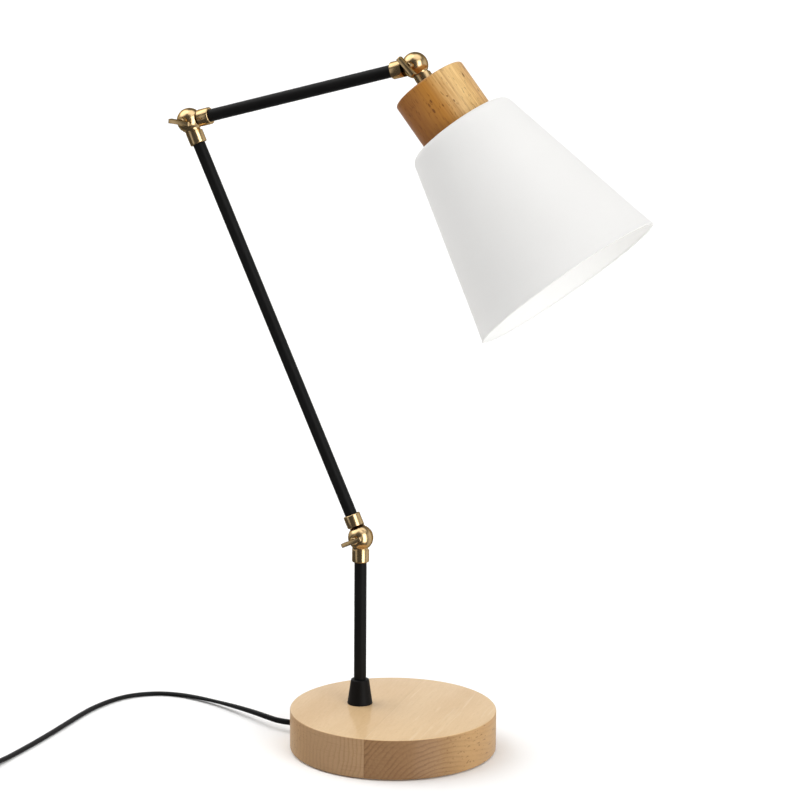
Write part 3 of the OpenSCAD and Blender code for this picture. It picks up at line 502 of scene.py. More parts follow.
finishes = {
    "beech": beechBase(), "brown_beech": beechCup(), "brass": satinBrass(), "black_paint": blackCoat(),
    "white_paint": whiteCoat(), "pad": felted(), "tie": wovenStrap(),
    "iron": mottled("castIron", (0.055, 0.055, 0.058), (0.10, 0.10, 0.10), (0.5, 0.2), 260.0, 0.25, 0.7, 1200.0),
    "steel": mottled("platedSteel", (0.60, 0.60, 0.61), (0.47, 0.47, 0.49), (0.24, 0.12), 220.0, 0.01, 1.0),
    "black_rubber": mottled("blackRubber", (0.016, 0.016, 0.016), (0.028, 0.028, 0.028), (0.58, 0.12), 180.0, 0.05),
    "black_cord": mottled("flexSheath", (0.0042, 0.0042, 0.0044), (0.0085, 0.0085, 0.0085), (0.42, 0.1), 90.0, 0.02,
                          Specular_IOR_Level=0.16),
    "fibre": mottled("fibreWasher", (0.07, 0.055, 0.045), (0.13, 0.10, 0.08), (0.7, 0.1), 900.0, 0.1),
    "grey_plastic": mottled("greyMoulding", (0.10, 0.10, 0.105), (0.14, 0.14, 0.145), (0.45, 0.1), 200.0, 0.03),
    "white_plastic": mottled("whiteMoulding", (0.80, 0.795, 0.77), (0.73, 0.72, 0.69), (0.28, 0.1), 120.0, 0.02),
    "black_plastic": mottled("blackMoulding", (0.014, 0.014, 0.0145), (0.024, 0.024, 0.025), (0.4, 0.12), 150.0,
                             0.05),
    "bulb_metal": mottled("bulbMetal", (0.74, 0.74, 0.75), (0.62, 0.62, 0.63), (0.2, 0.12), 260.0, 0.01, 1.0),
    "opal_glass": mottled("opalGlass", (0.90, 0.89, 0.865), (0.87, 0.86, 0.83), (0.1, 0.05), 60.0, 0.01,
                          strength=0.2, Coat_Weight=0.5, Coat_Roughness=0.05),
}
for part in frame["record"]["subparts"]:    # the CAD nodes that stay get these finishes too
    for slot in nodes[part["node"]].material_slots:
        slot.material = finishes[part["material_slot"]]
print("finishes made,", len(finishes))

# the cord comes first: from the base's bushing, through the switch and the coil, to the plug
flex = {
    "wide": 5.2, "thick": 3.4, "length": 1.8, "base": 90, "twistLength": 160, "stepsPerSpan": 6, "tailSteps": 3,
    "throughSteps": 8, "sides": 20, "flatness": 2.2, "valley": 0.05, "valleyWide": 0.4, "turns": 6.25, "innerR": 20,
    "turnGap": 0.7, "ringsPerTurn": 48, "strap": 0.7, "strapGap": 0.2,
    "leadRoute": [
        (-91.5, 0, 9), (-103, -0.8, 8.9), (-114, 0.8, 8.7), (-125, 5.6, 8.4), (-138, 12.3, 7.8), (-151, 19.2, 6.9),
        (-167, 27.2, 5.7), (-184, 35, 4.4), (-200, 41.2, 3.4), (-214, 45.3, 2.7), (-226, 47.7, 2.2),
        (-237, 48.4, 1.9), (-248, 47.2, 1.75), (-258, 44, 1.7), (-266.5, 38.5, 1.7), (-274.5, 31, 1.7),
        (-281, 21, 1.7), (-285.5, 9, 1.7), (-288.5, -6, 1.7), (-290.2, -24, 1.7), (-290, -44, 1.7),
        (-288.6, -70, 1.7), (-287.2, -96, 1.7), (-286.3, -122, 1.7), (-286, -148, 1.7), (-286, -170, 1.9),
        (-286, -190, 3), (-286, -208, 4.8), (-286, -224, 6.4), (-286, -240, 7)],
    "linkRoute": [
        (0, 0, 0), (0, -8, 0.02), (-0.6, -16, 0.14), (-3, -25, 0.36), (-8, -33, 0.64), (-15, -38.5, 0.82),
        (-24, -41.4, 0.95), (-34, -42, 1), (-47, -42, 1), (-60, -42, 1)],
    "tailRoute": [(0, 0, 0), (0, 6, 0), (0, 13, 0.4), (0, 20, 1), (0, 26, 1)]}
inlineSwitch = {"length": 62, "width": 27, "baseHeight": 8, "coverHeight": 7.5, "wall": 2, "corner": 6, "round": 1.8,
                "rockerLong": 20, "rockerWide": 10, "rockerTilt": 8, "rockerHeight": 4, "rockerSkirt": 2.4,
                "dish": 26, "dishDeep": 1, "pin": 3, "pinDown": 2, "pinEnds": 1, "room": 0.7, "cordRoom": 0.3,
                "screw": 6, "screwFromEnd": 9, "screwX": 9.1, "shank": 1.5, "shankFoot": 2.2, "tip": (0.2, 0.4),
                "headDeep": 1.6, "headEdge": 0.5, "headDown": 0.1, "slot": (3.4, 0.7, 1.6), "slotTurn": 20}
plug = {"wide": 35, "thick": 13.6, "long": 34, "relief": 28, "pin": 4, "pinLong": 19, "pitch": 18.6, "lift": 0.2,
        "waist": 0.6, "shoulder": (0.64, 1, 0.86), "corner": 2.2, "edge": 1.4, "grips": 4, "gripFrom": 0.3,
        "gripWide": 0.42, "gripDeep": 1.2, "gripPitch": 3.2, "reliefLow": 1.4, "reliefHigh": 3.4, "ribs": 6,
        "rib": [(-0.2, 0, 0), (0, 0.3, 0), (0.2, 0, 0.66), (-0.7, 0, 0.7), (-0.6, 0, 0.98)], "reliefIn": 2,
        "pinIn": 5, "pinRoom": 0.06, "drillIn": 5.2, "drillOut": 9}


def smoothThrough(route, steps):
    points = []
    for i in range(len(route) - 1):
        a, b, c = (Vector(route[k]) for k in (max(i - 1, 0), i, i + 1))
        d = Vector(route[min(i + 2, len(route) - 1)])
        for k in range(steps):
            t = k / steps
            points.append(0.5 * (2 * b + (c - a) * t + (2 * a - 5 * b + 4 * c - d) * t * t
                                 + (3 * b - a - 3 * c + d) * t ** 3))
    return points + [Vector(route[-1])]


def easedStep(t):
    t = min(max(t, 0), 1)
    return t * t * (3 - 2 * t)


def risingFrom(route, start, height):
    return [(start[0] + x, start[1] + y, start[2] + share * (height - start[2])) for x, y, share in route]


def layCord():
    turnPitch, layerPitch = flex["wide"] + flex["turnGap"], flex["thick"] + flex["turnGap"]
    coilZ = flex["strap"] + flex["strapGap"] + flex["thick"] / 2
    outerR = flex["innerR"] + turnPitch * flex["turns"] / 2
    lead = smoothThrough(flex["leadRoute"], flex["stepsPerSpan"])
    farEnd = lead[-1] + Vector((0, -inlineSwitch["length"], 0))
    link = smoothThrough(risingFrom(flex["linkRoute"], farEnd, coilZ), flex["stepsPerSpan"])
    middle = Vector((link[-1].x, link[-1].y + outerR, 0))
    coil = []
    for i in range(1, round(flex["turns"] * flex["ringsPerTurn"]) + 1):
        t = i / flex["ringsPerTurn"]
        r = flex["innerR"] + turnPitch * abs(t - flex["turns"] / 2)
        z = coilZ + layerPitch * easedStep((t - flex["turns"] / 2) * 2 + 0.5)
        turn = 2 * math.pi * t
        coil.append(middle + Vector((-r * math.sin(turn), -r * math.cos(turn), z)))
    tail = risingFrom(flex["tailRoute"], coil[-1], plug["thick"] / 2 + plug["lift"])
    tail = smoothThrough(tail, flex["tailSteps"])[1:]
    through = [lead[-1].lerp(farEnd, k / flex["throughSteps"]) for k in range(1, flex["throughSteps"])]
    return lead + through + link + coil + tail, middle, outerR, coilZ, layerPitch


def ovalRing():    # outline of the flat twin sheath, with round edges and a shallow valley along it
    half, sides = flex["thick"] / 2, flex["sides"]
    flat = (flex["wide"] - flex["thick"]) / 2
    ring = []
    for k in range(sides):
        a = 2 * math.pi * (k + 0.5) / sides
        x, y = math.cos(a), math.sin(a)
        px = flat * max(-1, min(1, flex["flatness"] * x)) + half * x
        dip = flex["valley"] * max(0, 1 - (px / (flex["valleyWide"] * flex["wide"])) ** 2)
        ring.append((px, half * y * (1 - dip)))
    return ring


cordPath, coilMiddle, coilOuterR, coilZ, coilLayer = layCord()


def makeCord():
    ring = ovalRing()
    verts, faces = [], []
    for i, at in enumerate(cordPath):
        ahead = (cordPath[min(i + 1, len(cordPath) - 1)] - cordPath[max(i - 1, 0)]).normalized()
        side = Vector((0, 0, 1)).cross(ahead).normalized()
        up = ahead.cross(side)
        onEdge = math.radians(90) * (1 - easedStep((-at.x - flex["base"]) / flex["twistLength"]))
        wide = side * math.cos(onEdge) + up * math.sin(onEdge)
        thick = up * math.cos(onEdge) - side * math.sin(onEdge)
        verts += [(at + wide * x + thick * y) * mm for x, y in ring]
    n = len(ring)
    for i in range(len(cordPath) - 1):
        for k in range(n):
            a, b = i * n + k, i * n + (k + 1) % n
            faces.append((a, b, b + n, a + n))
    last = (len(cordPath) - 1) * n
    faces += [tuple(range(n - 1, -1, -1)), tuple(range(last, last + n))]
    mesh = bpy.data.meshes.new("mainsCord")
    mesh.from_pydata(verts, [], faces)
    piece = bpy.data.objects.new("mainsCord", mesh)
    scene.collection.objects.link(piece)
    editing(piece)
    doneEditing(piece)
    return finished(piece, 50, "base", "black_cord", "cord_lead", "cord_link", "cord_coil", "cord_tail")


cordPiece = makeCord()
cordLength = sum((b - a).length for a, b in zip(cordPath, cordPath[1:])) * mm
print("cord laid, length", round(cordLength, 3))

# round wooden base
base = {"wide": 180, "foot": 0.8, "top": 36, "edge": 1.5, "seat": 82.4, "recess": 75, "seatTop": 2,
        "recessTop": 15, "stemX": -32, "stemHole": 10.85, "cordZ": 9, "cordHole": 9.1, "stemDrill": 60,
        "cordDrill": 24, "cordDrillIn": 5, "sides": 160}


def makeBase():
    b = base
    r, height = b["wide"] / 2, b["top"] - b["foot"]
    piece = cylinder("woodBase", r, height, (0, 0, b["foot"] + height / 2), sides=b["sides"])
    editing(piece, "FACE")
    chooseIn(piece, "polygons", lambda middle, normal: normal.z < -0.9)
    padSeat = (r - b["seat"], b["seatTop"] - b["foot"])
    weightRecess = (b["seat"] - b["recess"], b["recessTop"] - b["seatTop"])
    for inset, rise in (padSeat, weightRecess):
        bpy.ops.mesh.inset(thickness=inset * mm)
        bpy.ops.mesh.extrude_region_move(TRANSFORM_OT_translate={"value": (0, 0, rise * mm)})

    def onRim(one, other):
        return min(one.xy.length, other.xy.length) > (r - 0.05) * mm and abs(one.z - other.z) < 1e-6

    roundedAt(piece, onRim, b["edge"], 5)
    cutBy(piece, cylinder("stemDrill", b["stemHole"] / 2, b["stemDrill"], (b["stemX"], 0, b["stemDrill"] / 2)),
          cylinder("cordDrill", b["cordHole"] / 2, b["cordDrill"], (b["cordDrillIn"] - r, 0, b["cordZ"]), acrossX))
    finished(piece, 28, "base", "beech", "wood_base")


makeBase()

bushing = {"flange": 13, "flangeThick": 1.5, "sleeve": 9, "long": 15, "tip": 0.4, "round": 0.7, "slotWide": 5.8,
           "slotThick": 4, "slotRound": 0.98, "slotLong": 40, "edge": 0.15}


def makeBushing():
    b = bushing
    r, f, tip, end, thick = b["sleeve"] / 2, b["flange"] / 2, b["tip"], b["long"], b["flangeThick"]
    outline = [(0, -end), (r - tip, -end), (r, tip - end), (r, 0), (f, 0)]
    outline += arc((f - b["round"], thick - b["round"]), b["round"], 0, 90, 4) + [(0, thick)]
    piece = spun("cordBushing", outline, 64)
    tool = block("slotTool", (b["slotWide"], b["slotThick"], b["slotLong"]))
    cutBy(piece, roundedAt(tool, standing, b["slotThick"] / 2 * b["slotRound"], 8))
    settle(piece, movedTo(-base["wide"] / 2, 0, base["cordZ"]) @ turnedBy(-90))
    finished(softEdges(piece, b["edge"]), 30, "base", "black_rubber", "cord_bushing")


makeBushing()

# stem and arms
ferrule = {"foot": 22, "top": 16.2, "height": 22, "skirt": 1, "chamfer": 1, "hole": 10.85, "toe": 0.25,
           "step": 0.12, "stepHigh": 0.3}
tube = {"wide": 10.75, "bore": 7, "footZ": 17, "socket": 13.5, "lower": 390, "upper": 220, "lip": 0.3}


def makeFerrule():
    f = ferrule
    r, t, hole, h, c = f["foot"] / 2, f["top"] / 2, f["hole"] / 2, f["height"], f["chamfer"]
    outline = [(hole, 0), (r - f["toe"], 0), (r, f["toe"]), (r, f["skirt"])]
    outline += [(r - f["step"], f["skirt"] + f["stepHigh"]), (t, h - c)] + arc((t - c, h - c), c, 10, 80, 5)
    outline += [(hole, h), (hole, 0)]
    piece = spun("ferrule", outline, 72, movedTo(base["stemX"], 0, base["top"]))
    finished(piece, 32, "base", "black_paint", "ferrule")


def makeTube(name, low, high, place, body, node):
    r, b, lip = tube["wide"] / 2, tube["bore"] / 2, tube["lip"]
    outline = [(b, low), (r - lip, low), (r, low + lip), (r, high - lip), (r - lip, high), (b, high), (b, low)]
    finished(spun(name, outline, 64, place), 30, body, "black_paint", node)


makeFerrule()
socket, stemTop = tube["socket"], jointAt["stem_joint"].z / mm
makeTube("stemTube", tube["footZ"], stemTop - socket, movedTo(base["stemX"], 0), "base", "stem_tube")
makeTube("lowerArmTube", socket, tube["lower"] - socket, upLower, "lower_arm", "lower_arm_tube")
makeTube("upperArmTube", socket, tube["upper"] - socket, outUpper, "upper_arm", "upper_arm_tube")
print("base, ferrule and tubes made")

# brass knuckles: each half is a half ball with a neck and a collar
knuckle = {"ball": 22, "neck": 14.2, "fillet": 3, "bite": 0.15, "plain": 0.4, "collar": 14.8, "chamfer": 0.2,
           "end": 21.5, "round": 1, "socketZ": 13.5, "socket": 10.85, "wire": 5.8, "wireDeep": 2, "room": 2.2,
           "split": 1.05, "seat": 10.2, "spot": 7.6, "screw": 5.12, "screwDeep": 8.1, "past": 2, "edge": 0.12}


def otherBall(radius, side):    # the room for the other half's ball, up to the split
    piece = settle(added("otherBall", bpy.ops.mesh.primitive_uv_sphere_add, segments=72, ring_count=36,
                         radius=radius * mm, rotation=(math.pi / 2, 0, 0)))
    editing(piece, start="SELECT")
    bpy.ops.mesh.bisect(plane_co=(0, side * knuckle["split"] / 2 * mm, 0), plane_no=(0, 1, 0), use_fill=True,
                        clear_inner=side < 0, clear_outer=side > 0)
    return doneEditing(piece)


def makeHalf(name, side):
    k = knuckle
    r, c, n, socket, wire, hole, spot = (k[key] / 2 for key in ("ball", "collar", "neck", "socket", "wire", "screw",
                                                                "spot"))
    far = n + k["fillet"]    # middle of the hollow curve between ball and neck
    filletZ = math.sqrt((r + k["fillet"] - k["bite"]) ** 2 - far ** 2)
    start, meets = filletZ + k["plain"], math.degrees(math.atan(filletZ / far))
    end, socketZ, wireZ = k["end"], k["socketZ"], k["socketZ"] - k["wireDeep"]
    outline = arc((0, 0), r, -90, meets - 1, 36)[1:] + arc((far, filletZ), k["fillet"], 180 + meets, 180, 8)
    outline = [(0, -r)] + outline + [(n, start), (c - k["chamfer"], start), (c, start + k["chamfer"])]
    outline += arc((c - k["round"], end - k["round"]), k["round"], 0, 90, 5)
    outline += [(socket, end), (socket, socketZ), (wire, socketZ), (wire, wireZ), (0, wireZ)]
    piece = spun(name, outline, 80)
    drill = [(0, -k["past"]), (hole, -k["past"])]
    if side < 0:    # the near half has a flat seat for the screw's shoulder
        drill += [(hole, k["seat"]), (spot, k["seat"]), (spot, k["ball"]), (0, k["ball"])]
    else:
        drill += [(hole, k["screwDeep"]), (0, k["screwDeep"])]
    drill = spun("screwDrill", drill, 40, towardsNear if side < 0 else towardsFar)
    cutBy(piece, otherBall(r + k["room"], side), drill)
    return softEdges(piece, k["edge"])


thumb = {"shank": 5, "reach": 7.5, "shoulder": 7, "seat": 10.25, "shoulderLong": 4.2, "long": 20, "deep": 6.2,
         "thick": 3.6, "corner": 1.1, "edge": 0.3, "tip": 0.5, "lip": 0.2, "root": 1.2, "rootEnd": 2}


def makeThumbScrew():
    t = thumb
    near = t["seat"] + t["shoulderLong"]
    piece = block("thumbScrew", (t["long"], t["deep"], t["thick"]), (0, -near - t["deep"] / 2, 0))
    softEdges(roundedAt(piece, standing, t["corner"], 4), t["edge"], 2, 50)
    r, s, tip, lip, reach, seat = t["shank"] / 2, t["shoulder"] / 2, t["tip"], t["lip"], t["reach"], t["seat"]
    outline = [(0, -reach), (r - tip, -reach), (r, tip - reach), (r, seat), (s - lip, seat), (s, seat + lip),
               (s, near + t["root"]), (s - tip, near + t["rootEnd"]), (0, near + t["rootEnd"])]
    return joinedTo(piece, spun("screwShaft", outline, 48, towardsNear))


nearHalf, farHalf, screwPattern = makeHalf("nearHalf", -1), makeHalf("farHalf", 1), makeThumbScrew()
turnedBrass = [
    ("stemKnuckle", nearHalf, downStem, "base", "stem_knuckle"),
    ("lowerFootKnuckle", farHalf, upLower, "lower_arm", "lower_arm_foot_knuckle"),
    ("lowerTopKnuckle", nearHalf, downLower, "lower_arm", "lower_arm_top_knuckle"),
    ("upperRearKnuckle", farHalf, outUpper, "upper_arm", "upper_arm_rear_knuckle"),
    ("upperFrontKnuckle", farHalf, backUpper, "upper_arm", "upper_arm_front_knuckle"),
    ("headKnuckle", nearHalf, alongHead, "head", "head_knuckle")]
for name, at, body in (("Low", atLow, "low"), ("Elbow", atElbow, "elbow"), ("Head", atHead, "head")):
    place = at @ turnedBy(-pose[body + "Handle"])
    turnedBrass.append(("thumbScrew" + name, screwPattern, place, body + "_screw", "thumb_screw_" + body))
for name, pattern, place, body, node in turnedBrass:
    finished(settle(copyOf(pattern, name), place), 32, body, "brass", node)
for pattern in (nearHalf, farHalf, screwPattern):
    bpy.data.objects.remove(pattern)
print("knuckles and thumb screws made")

# head: wooden cup, white shade, lampholder and bulb, along the head's own axis from its joint
cup = {"wide": 65.8, "top": 19.6, "foot": 64.6, "ceiling": 29.6, "bore": 49.8, "round": 2.2, "chamfer": 0.8,
       "ease": 0.25, "hole": 10.85, "seat": 15.4, "seatDeep": 1.9}
shade = {"topWide": 94, "rimWide": 170.4, "top": 64.6, "height": 157.5, "sheet": 0.8, "shoulder": 8, "hole": 38.8,
         "bead": 1.8, "roll": (-52, 232), "wallSteps": 8, "steps": 160}
holder = {"wide": 38, "wall": 4, "foot": 35.1, "boss": 19.75, "bossHigh": 8, "skirtTop": 55.1, "skirtEnd": 84.6,
          "rim": 1.2, "mouth": 0.8, "edge": 0.6, "room": 0.05, "ringTop": 65.4, "ringHigh": 7, "ringWide": 56,
          "flange": 1.5, "flangeFoot": 1.9, "ribs": 48, "ribDeep": 0.5}
bulb = {"top": 61.6, "thread": 26.4, "threadDeep": 0.6, "threadPitch": 3.6, "threadTop": 66.6, "threadSteps": 10,
        "neck": 85.6, "wide": 60, "rise": 50, "button": 8.8, "buttonEdge": 0.5, "buttonHigh": 1.5, "neckWide": 27.6,
        "wall": 1}


def onHead(name, outline, steps, angle, slot, node):
    finished(spun(name, outline, steps, alongHead), angle, "head", slot, node)


def makeCup():
    c = cup
    r, hole, seat, bore = (c[key] / 2 for key in ("wide", "hole", "seat", "bore"))
    top, foot, seatZ, ease = c["top"], c["foot"], c["top"] + c["seatDeep"], c["ease"]
    outline = [(hole, seatZ), (seat, seatZ), (seat, top)]
    outline += arc((r - c["round"], top + c["round"]), c["round"], -90, 0, 6)
    outline += [(r, foot - c["chamfer"]), (r - ease, foot - ease), (r - c["chamfer"], foot), (bore, foot),
                (bore, c["ceiling"]), (hole, c["ceiling"]), (hole, seatZ)]
    onHead("woodCup", outline, 128, 32, "brown_beech", "wood_cup")


def makeShade():
    s = shade
    topR, rimR, rimZ, hole = s["topWide"] / 2, s["rimWide"] / 2, s["top"] + s["height"], s["hole"] / 2
    slope = math.degrees(math.atan((rimR - topR) / s["height"]))
    middle = (topR - s["shoulder"] * math.tan(math.radians(45 - slope / 2)), s["top"] + s["shoulder"])
    inset = s["sheet"] / math.cos(math.radians(slope))
    outside = [(hole, s["top"])] + arc(middle, s["shoulder"], -90, -slope, 10)
    x, z = outside[-1]
    shares = [k / s["wallSteps"] for k in range(1, s["wallSteps"])]
    wall = [(x + (rimR - x) * share, z + (rimZ - z) * share) for share in shares]
    roll = arc((rimR - inset / 2, rimZ), s["bead"] / 2, *s["roll"], 14)
    innerWall = [(x - inset, z) for x, z in reversed(wall)]
    inside = arc(middle, s["shoulder"] - s["sheet"], -slope, -90, 10)
    outline = outside + wall + roll + innerWall + inside + [(hole, s["top"] + s["sheet"]), outside[0]]
    onHead("shade", outline, s["steps"], 40, "white_paint", "shade")


def makeHolder():
    h = holder
    r, wall, boss, edge, mouth, rim = h["wide"] / 2, h["wall"], h["boss"] / 2, h["edge"], h["mouth"], h["rim"]
    foot, low, high, bore = h["foot"], h["skirtTop"], h["skirtEnd"], tube["wide"] / 2 + h["room"]
    bossEnd, turnZ = foot + h["bossHigh"], low - (low - foot) / 4
    outline = [(bore, foot), (boss - edge, foot), (boss, foot + edge), (boss, foot + h["bossHigh"] / 2),
               (r - edge, turnZ - edge), (r, turnZ), (r, low), (r - wall, low), (r - wall, turnZ),
               (boss - wall / 2, bossEnd), (bore, bossEnd), (bore, foot)]
    onHead("lampholderCap", outline, 72, 30, "white_plastic", "lampholder_cap")
    outline = [(r - wall, low), (r, low), (r, high - rim)] + arc((r - rim, high - rim), rim, 20, 90, 4)
    outline += [(r - wall + mouth, high), (r - wall, high - mouth), (r - wall, low)]
    onHead("lampholderSkirt", outline, 72, 30, "white_plastic", "lampholder_skirt")
    low, high, ringR, bore = h["ringTop"], h["ringTop"] + h["ringHigh"], h["ringWide"] / 2, r + h["room"]
    ribR, ribLow, ribHigh = ringR - edge, low + h["flangeFoot"], high - mouth
    outline = [(bore, low), (ringR, low), (ringR, low + h["flange"]), (ribR, ribLow), (ribR, ribHigh),
               (ribR - mouth, high), (bore, high), (bore, low)]
    ring = spun("shadeRing", outline, h["ribs"] * 2)
    editing(ring, "FACE")
    period = 2 * math.pi / h["ribs"]

    def rib(middle, normal):
        turn = math.atan2(middle.y, middle.x) % period
        outer = middle.xy.length > (ribR - 0.2) * mm
        return outer and abs(normal.z) < 0.1 and ribLow < middle.z / mm < ribHigh and turn < period / 2

    chooseIn(ring, "polygons", rib)
    bpy.ops.mesh.extrude_region_shrink_fatten(TRANSFORM_OT_shrink_fatten={"value": h["ribDeep"] * mm})
    settle(doneEditing(ring), alongHead)
    finished(ring, 25, "head", "white_plastic", "shade_ring")


def makeBulb():
    b = bulb
    r, button, edge, steps = b["thread"] / 2, b["button"] / 2, b["buttonEdge"], b["threadSteps"]
    top, start, neck, root = b["top"], b["threadTop"], b["neck"], r - b["threadDeep"]
    ridges = []
    for i in range(1, int((neck - start) / b["threadPitch"]) * steps + 1):
        z = start + i * b["threadPitch"] / steps
        ridges.append((r - b["threadDeep"] * (1 + math.cos(2 * math.pi * i / steps)) / 2, z))
    bore, ceiling = root - b["wall"], start + b["wall"]
    outline = [(0, top), (button - edge, top), (button, top + edge), (button, top + b["buttonHigh"]), (root, start)]
    outline += ridges + [(root, neck), (bore, neck), (bore, ceiling), (0, ceiling)]
    onHead("bulbCap", outline, 72, 40, "bulb_metal", "bulb_cap")

    def globeLine(inset):
        ball, foot = b["wide"] / 2 - inset, b["neckWide"] / 2 - inset
        lean = math.degrees(math.acos(ball / math.hypot(foot, b["rise"])) + math.atan(foot / b["rise"]))
        return [(foot, neck)] + arc((0, neck + b["rise"]), ball, lean - 90, 90, 28)

    outline = globeLine(0) + globeLine(b["wall"])[::-1]
    onHead("bulbGlobe", outline + outline[:1], 96, 50, "opal_glass", "bulb_globe")


makeCup()
makeShade()
makeHolder()
makeBulb()
print("head made")


# switch on the cord
def roundedBlock(name, size, middle, corner):
    return roundedAt(block(name, size, middle), standing, corner, 8)


def makeSwitch():
    s = inlineSwitch
    wide, long, wall, corner, room = (s[key] for key in ("width", "length", "wall", "corner", "room"))
    low, high = s["baseHeight"], s["coverHeight"]
    end = Vector(flex["leadRoute"][-1])
    x, y, top = end.x, end.y - long / 2, low + high
    inside = (wide - 2 * wall, long - 2 * wall)
    shell = roundedBlock("switchBase", (wide, long, low), (x, y, low / 2), corner)
    cutBy(shell, roundedBlock("shellTool", (*inside, 20), (x, y, wall + 10), corner - wall))
    cover = roundedBlock("switchCover", (wide, long, high), (x, y, low + high / 2), corner)
    roundedAt(cover, lambda a, b: min(a.z, b.z) > (top - 0.1) * mm, s["round"], 4)
    cutBy(cover, roundedBlock("coverTool", (*inside, high * 2), (x, y, low - wall), corner - wall),
          block("windowTool", (s["rockerWide"] + 2 * room, s["rockerLong"] + 4 * room, 20), (x, y, top)))
    mouth = (flex["wide"] + s["cordRoom"], long + 10, flex["thick"] + s["cordRoom"])
    for half in (shell, cover):    # the cord's mouths at both ends
        cutBy(half, block("mouthTool", mouth, (x, y, end.z)))
    finished(softEdges(shell, 0.4), 30, "base", "black_plastic", "switch_base")
    size = (s["rockerWide"], s["rockerLong"], s["rockerHeight"] + s["rockerSkirt"])
    rocker = block("switchRocker", size, (0, 0, (s["rockerHeight"] - s["rockerSkirt"]) / 2))
    dishZ = s["dish"] + s["rockerHeight"] - s["dishDeep"]
    cutBy(rocker, cylinder("dishTool", s["dish"], 50, (0, 0, dishZ), acrossX, 128))
    softEdges(rocker, 0.5, 3)
    pinLong = s["rockerWide"] + 2 * room + 2 * s["pinEnds"]
    joinedTo(rocker, cylinder("rockerPin", s["pin"] / 2, pinLong, turn=acrossX, sides=32))
    settle(rocker, movedTo(x, y, top - s["pin"] / 2 - s["pinDown"]) @ turnedBy(s["rockerTilt"], "X"))
    finished(rocker, 30, "rocker", "black_plastic", "switch_rocker")
    screwY, r, shank, foot = long / 2 - s["screwFromEnd"], s["screw"] / 2, s["shank"], s["shankFoot"]
    seatZ, headZ, edge, (tipIn, tipUp) = top - s["headDeep"], top - s["headDown"], s["headEdge"], s["tip"]
    seat = [(0, seatZ), (r + 0.1, seatZ), (r + 0.1, top + 3), (0, top + 3)]
    outline = [(0, foot), (shank - tipIn, foot), (shank, foot + tipUp), (shank, seatZ), (r, seatZ), (r, top - edge),
               (r - edge, headZ), (0, headZ)]
    heads = []
    for side in (-1, 1):
        at = (x + side * s["screwX"], y + side * screwY)
        cutBy(cover, spun("headSeat", seat, 40, movedTo(*at)))
        screw = spun("switchScrews", outline, 40, movedTo(*at))
        for turn in (0, 90):    # cross slot
            place = movedTo(*at, top) @ turnedBy(turn + s["slotTurn"], "Z")
            cutBy(screw, settle(block("slotTool", s["slot"]), place))
        heads.append(screw)
    screws = gathered(heads)
    finished(screws, 30, "base", "steel", "switch_screws")
    finished(softEdges(cover, 0.3), 30, "base", "black_plastic", "switch_cover")
    return [shell, cover, rocker, screws]


# plug with a ribbed, tapering strain relief, and the strap around the coil
def makePlug():
    p = plug
    wide, long, thick, start, r = p["wide"], p["long"], p["thick"], p["relief"], p["pin"] / 2
    body = block("plugBody", (wide, long, thick), (0, start + long / 2, 0))
    editing(body, "FACE", "SELECT")
    bpy.ops.mesh.bisect(plane_co=(0, (start + p["waist"] * long) * mm, 0), plane_no=(0, 1, 0))
    chooseIn(body, "vertices", lambda co: co.y < (start + 0.1) * mm)
    bpy.ops.transform.resize(value=p["shoulder"])
    roundedAt(body, lambda a, b: abs(a.z - b.z) > 5 * mm, p["corner"], 5)
    softEdges(body, p["edge"], 3, 40)
    grip = (wide * p["gripWide"], p["gripDeep"], p["gripDeep"])
    for side in (-1, 1):    # finger grips on both broad faces
        for k in range(p["grips"]):
            y = start + long * p["gripFrom"] + p["gripPitch"] * k
            cutBy(body, block("gripTool", grip, (0, y, side * thick / 2)))
    low, high, ribs = flex["wide"] / 2 + p["reliefLow"], flex["wide"] / 2 + p["reliefHigh"], p["ribs"]
    outline = [(0, 0)]
    for k in range(ribs):
        ribZ, ribR = start * k / ribs, low + (high - low) * k / ribs
        outline += [(ribR + out, ribZ + up + start / ribs * share) for out, up, share in p["rib"]]
    inner = start + p["reliefIn"]
    outline += [(high, start - 0.1), (high, inner), (0, inner)]
    joinedTo(body, spun("relief", outline, 48, towardsFar))
    end, drillR = start + long, r + p["pinRoom"]
    pinFoot, tip = end - p["pinIn"], end + p["pinLong"] - r
    drillFoot, drillEnd = end - p["drillIn"], end + p["drillOut"]
    outline = [(0, pinFoot), (r, pinFoot), (r, tip)] + arc((0, tip), r, 5, 90, 7)
    drill = [(0, drillFoot), (drillR, drillFoot), (drillR, drillEnd), (0, drillEnd)]
    pins = []
    for side in (-1, 1):
        place = movedTo(side * p["pitch"] / 2, 0) @ towardsFar
        pins.append(spun("plugPins", outline, 40, place))
        cutBy(body, spun("pinDrill", drill, 40, place))
    pair = gathered(pins)
    for piece in (body, pair):
        settle(piece, movedTo(*cordPath[-1]))
    finished(body, 35, "base", "black_plastic", "plug_body")
    finished(pair, 40, "base", "steel", "plug_pins")
    return [body, pair]


strap = {"wide": 9, "thick": 0.7, "corner": 2.4, "gap": 0.7, "lift": 0.1, "topGap": 0.2, "edge": 0.15}


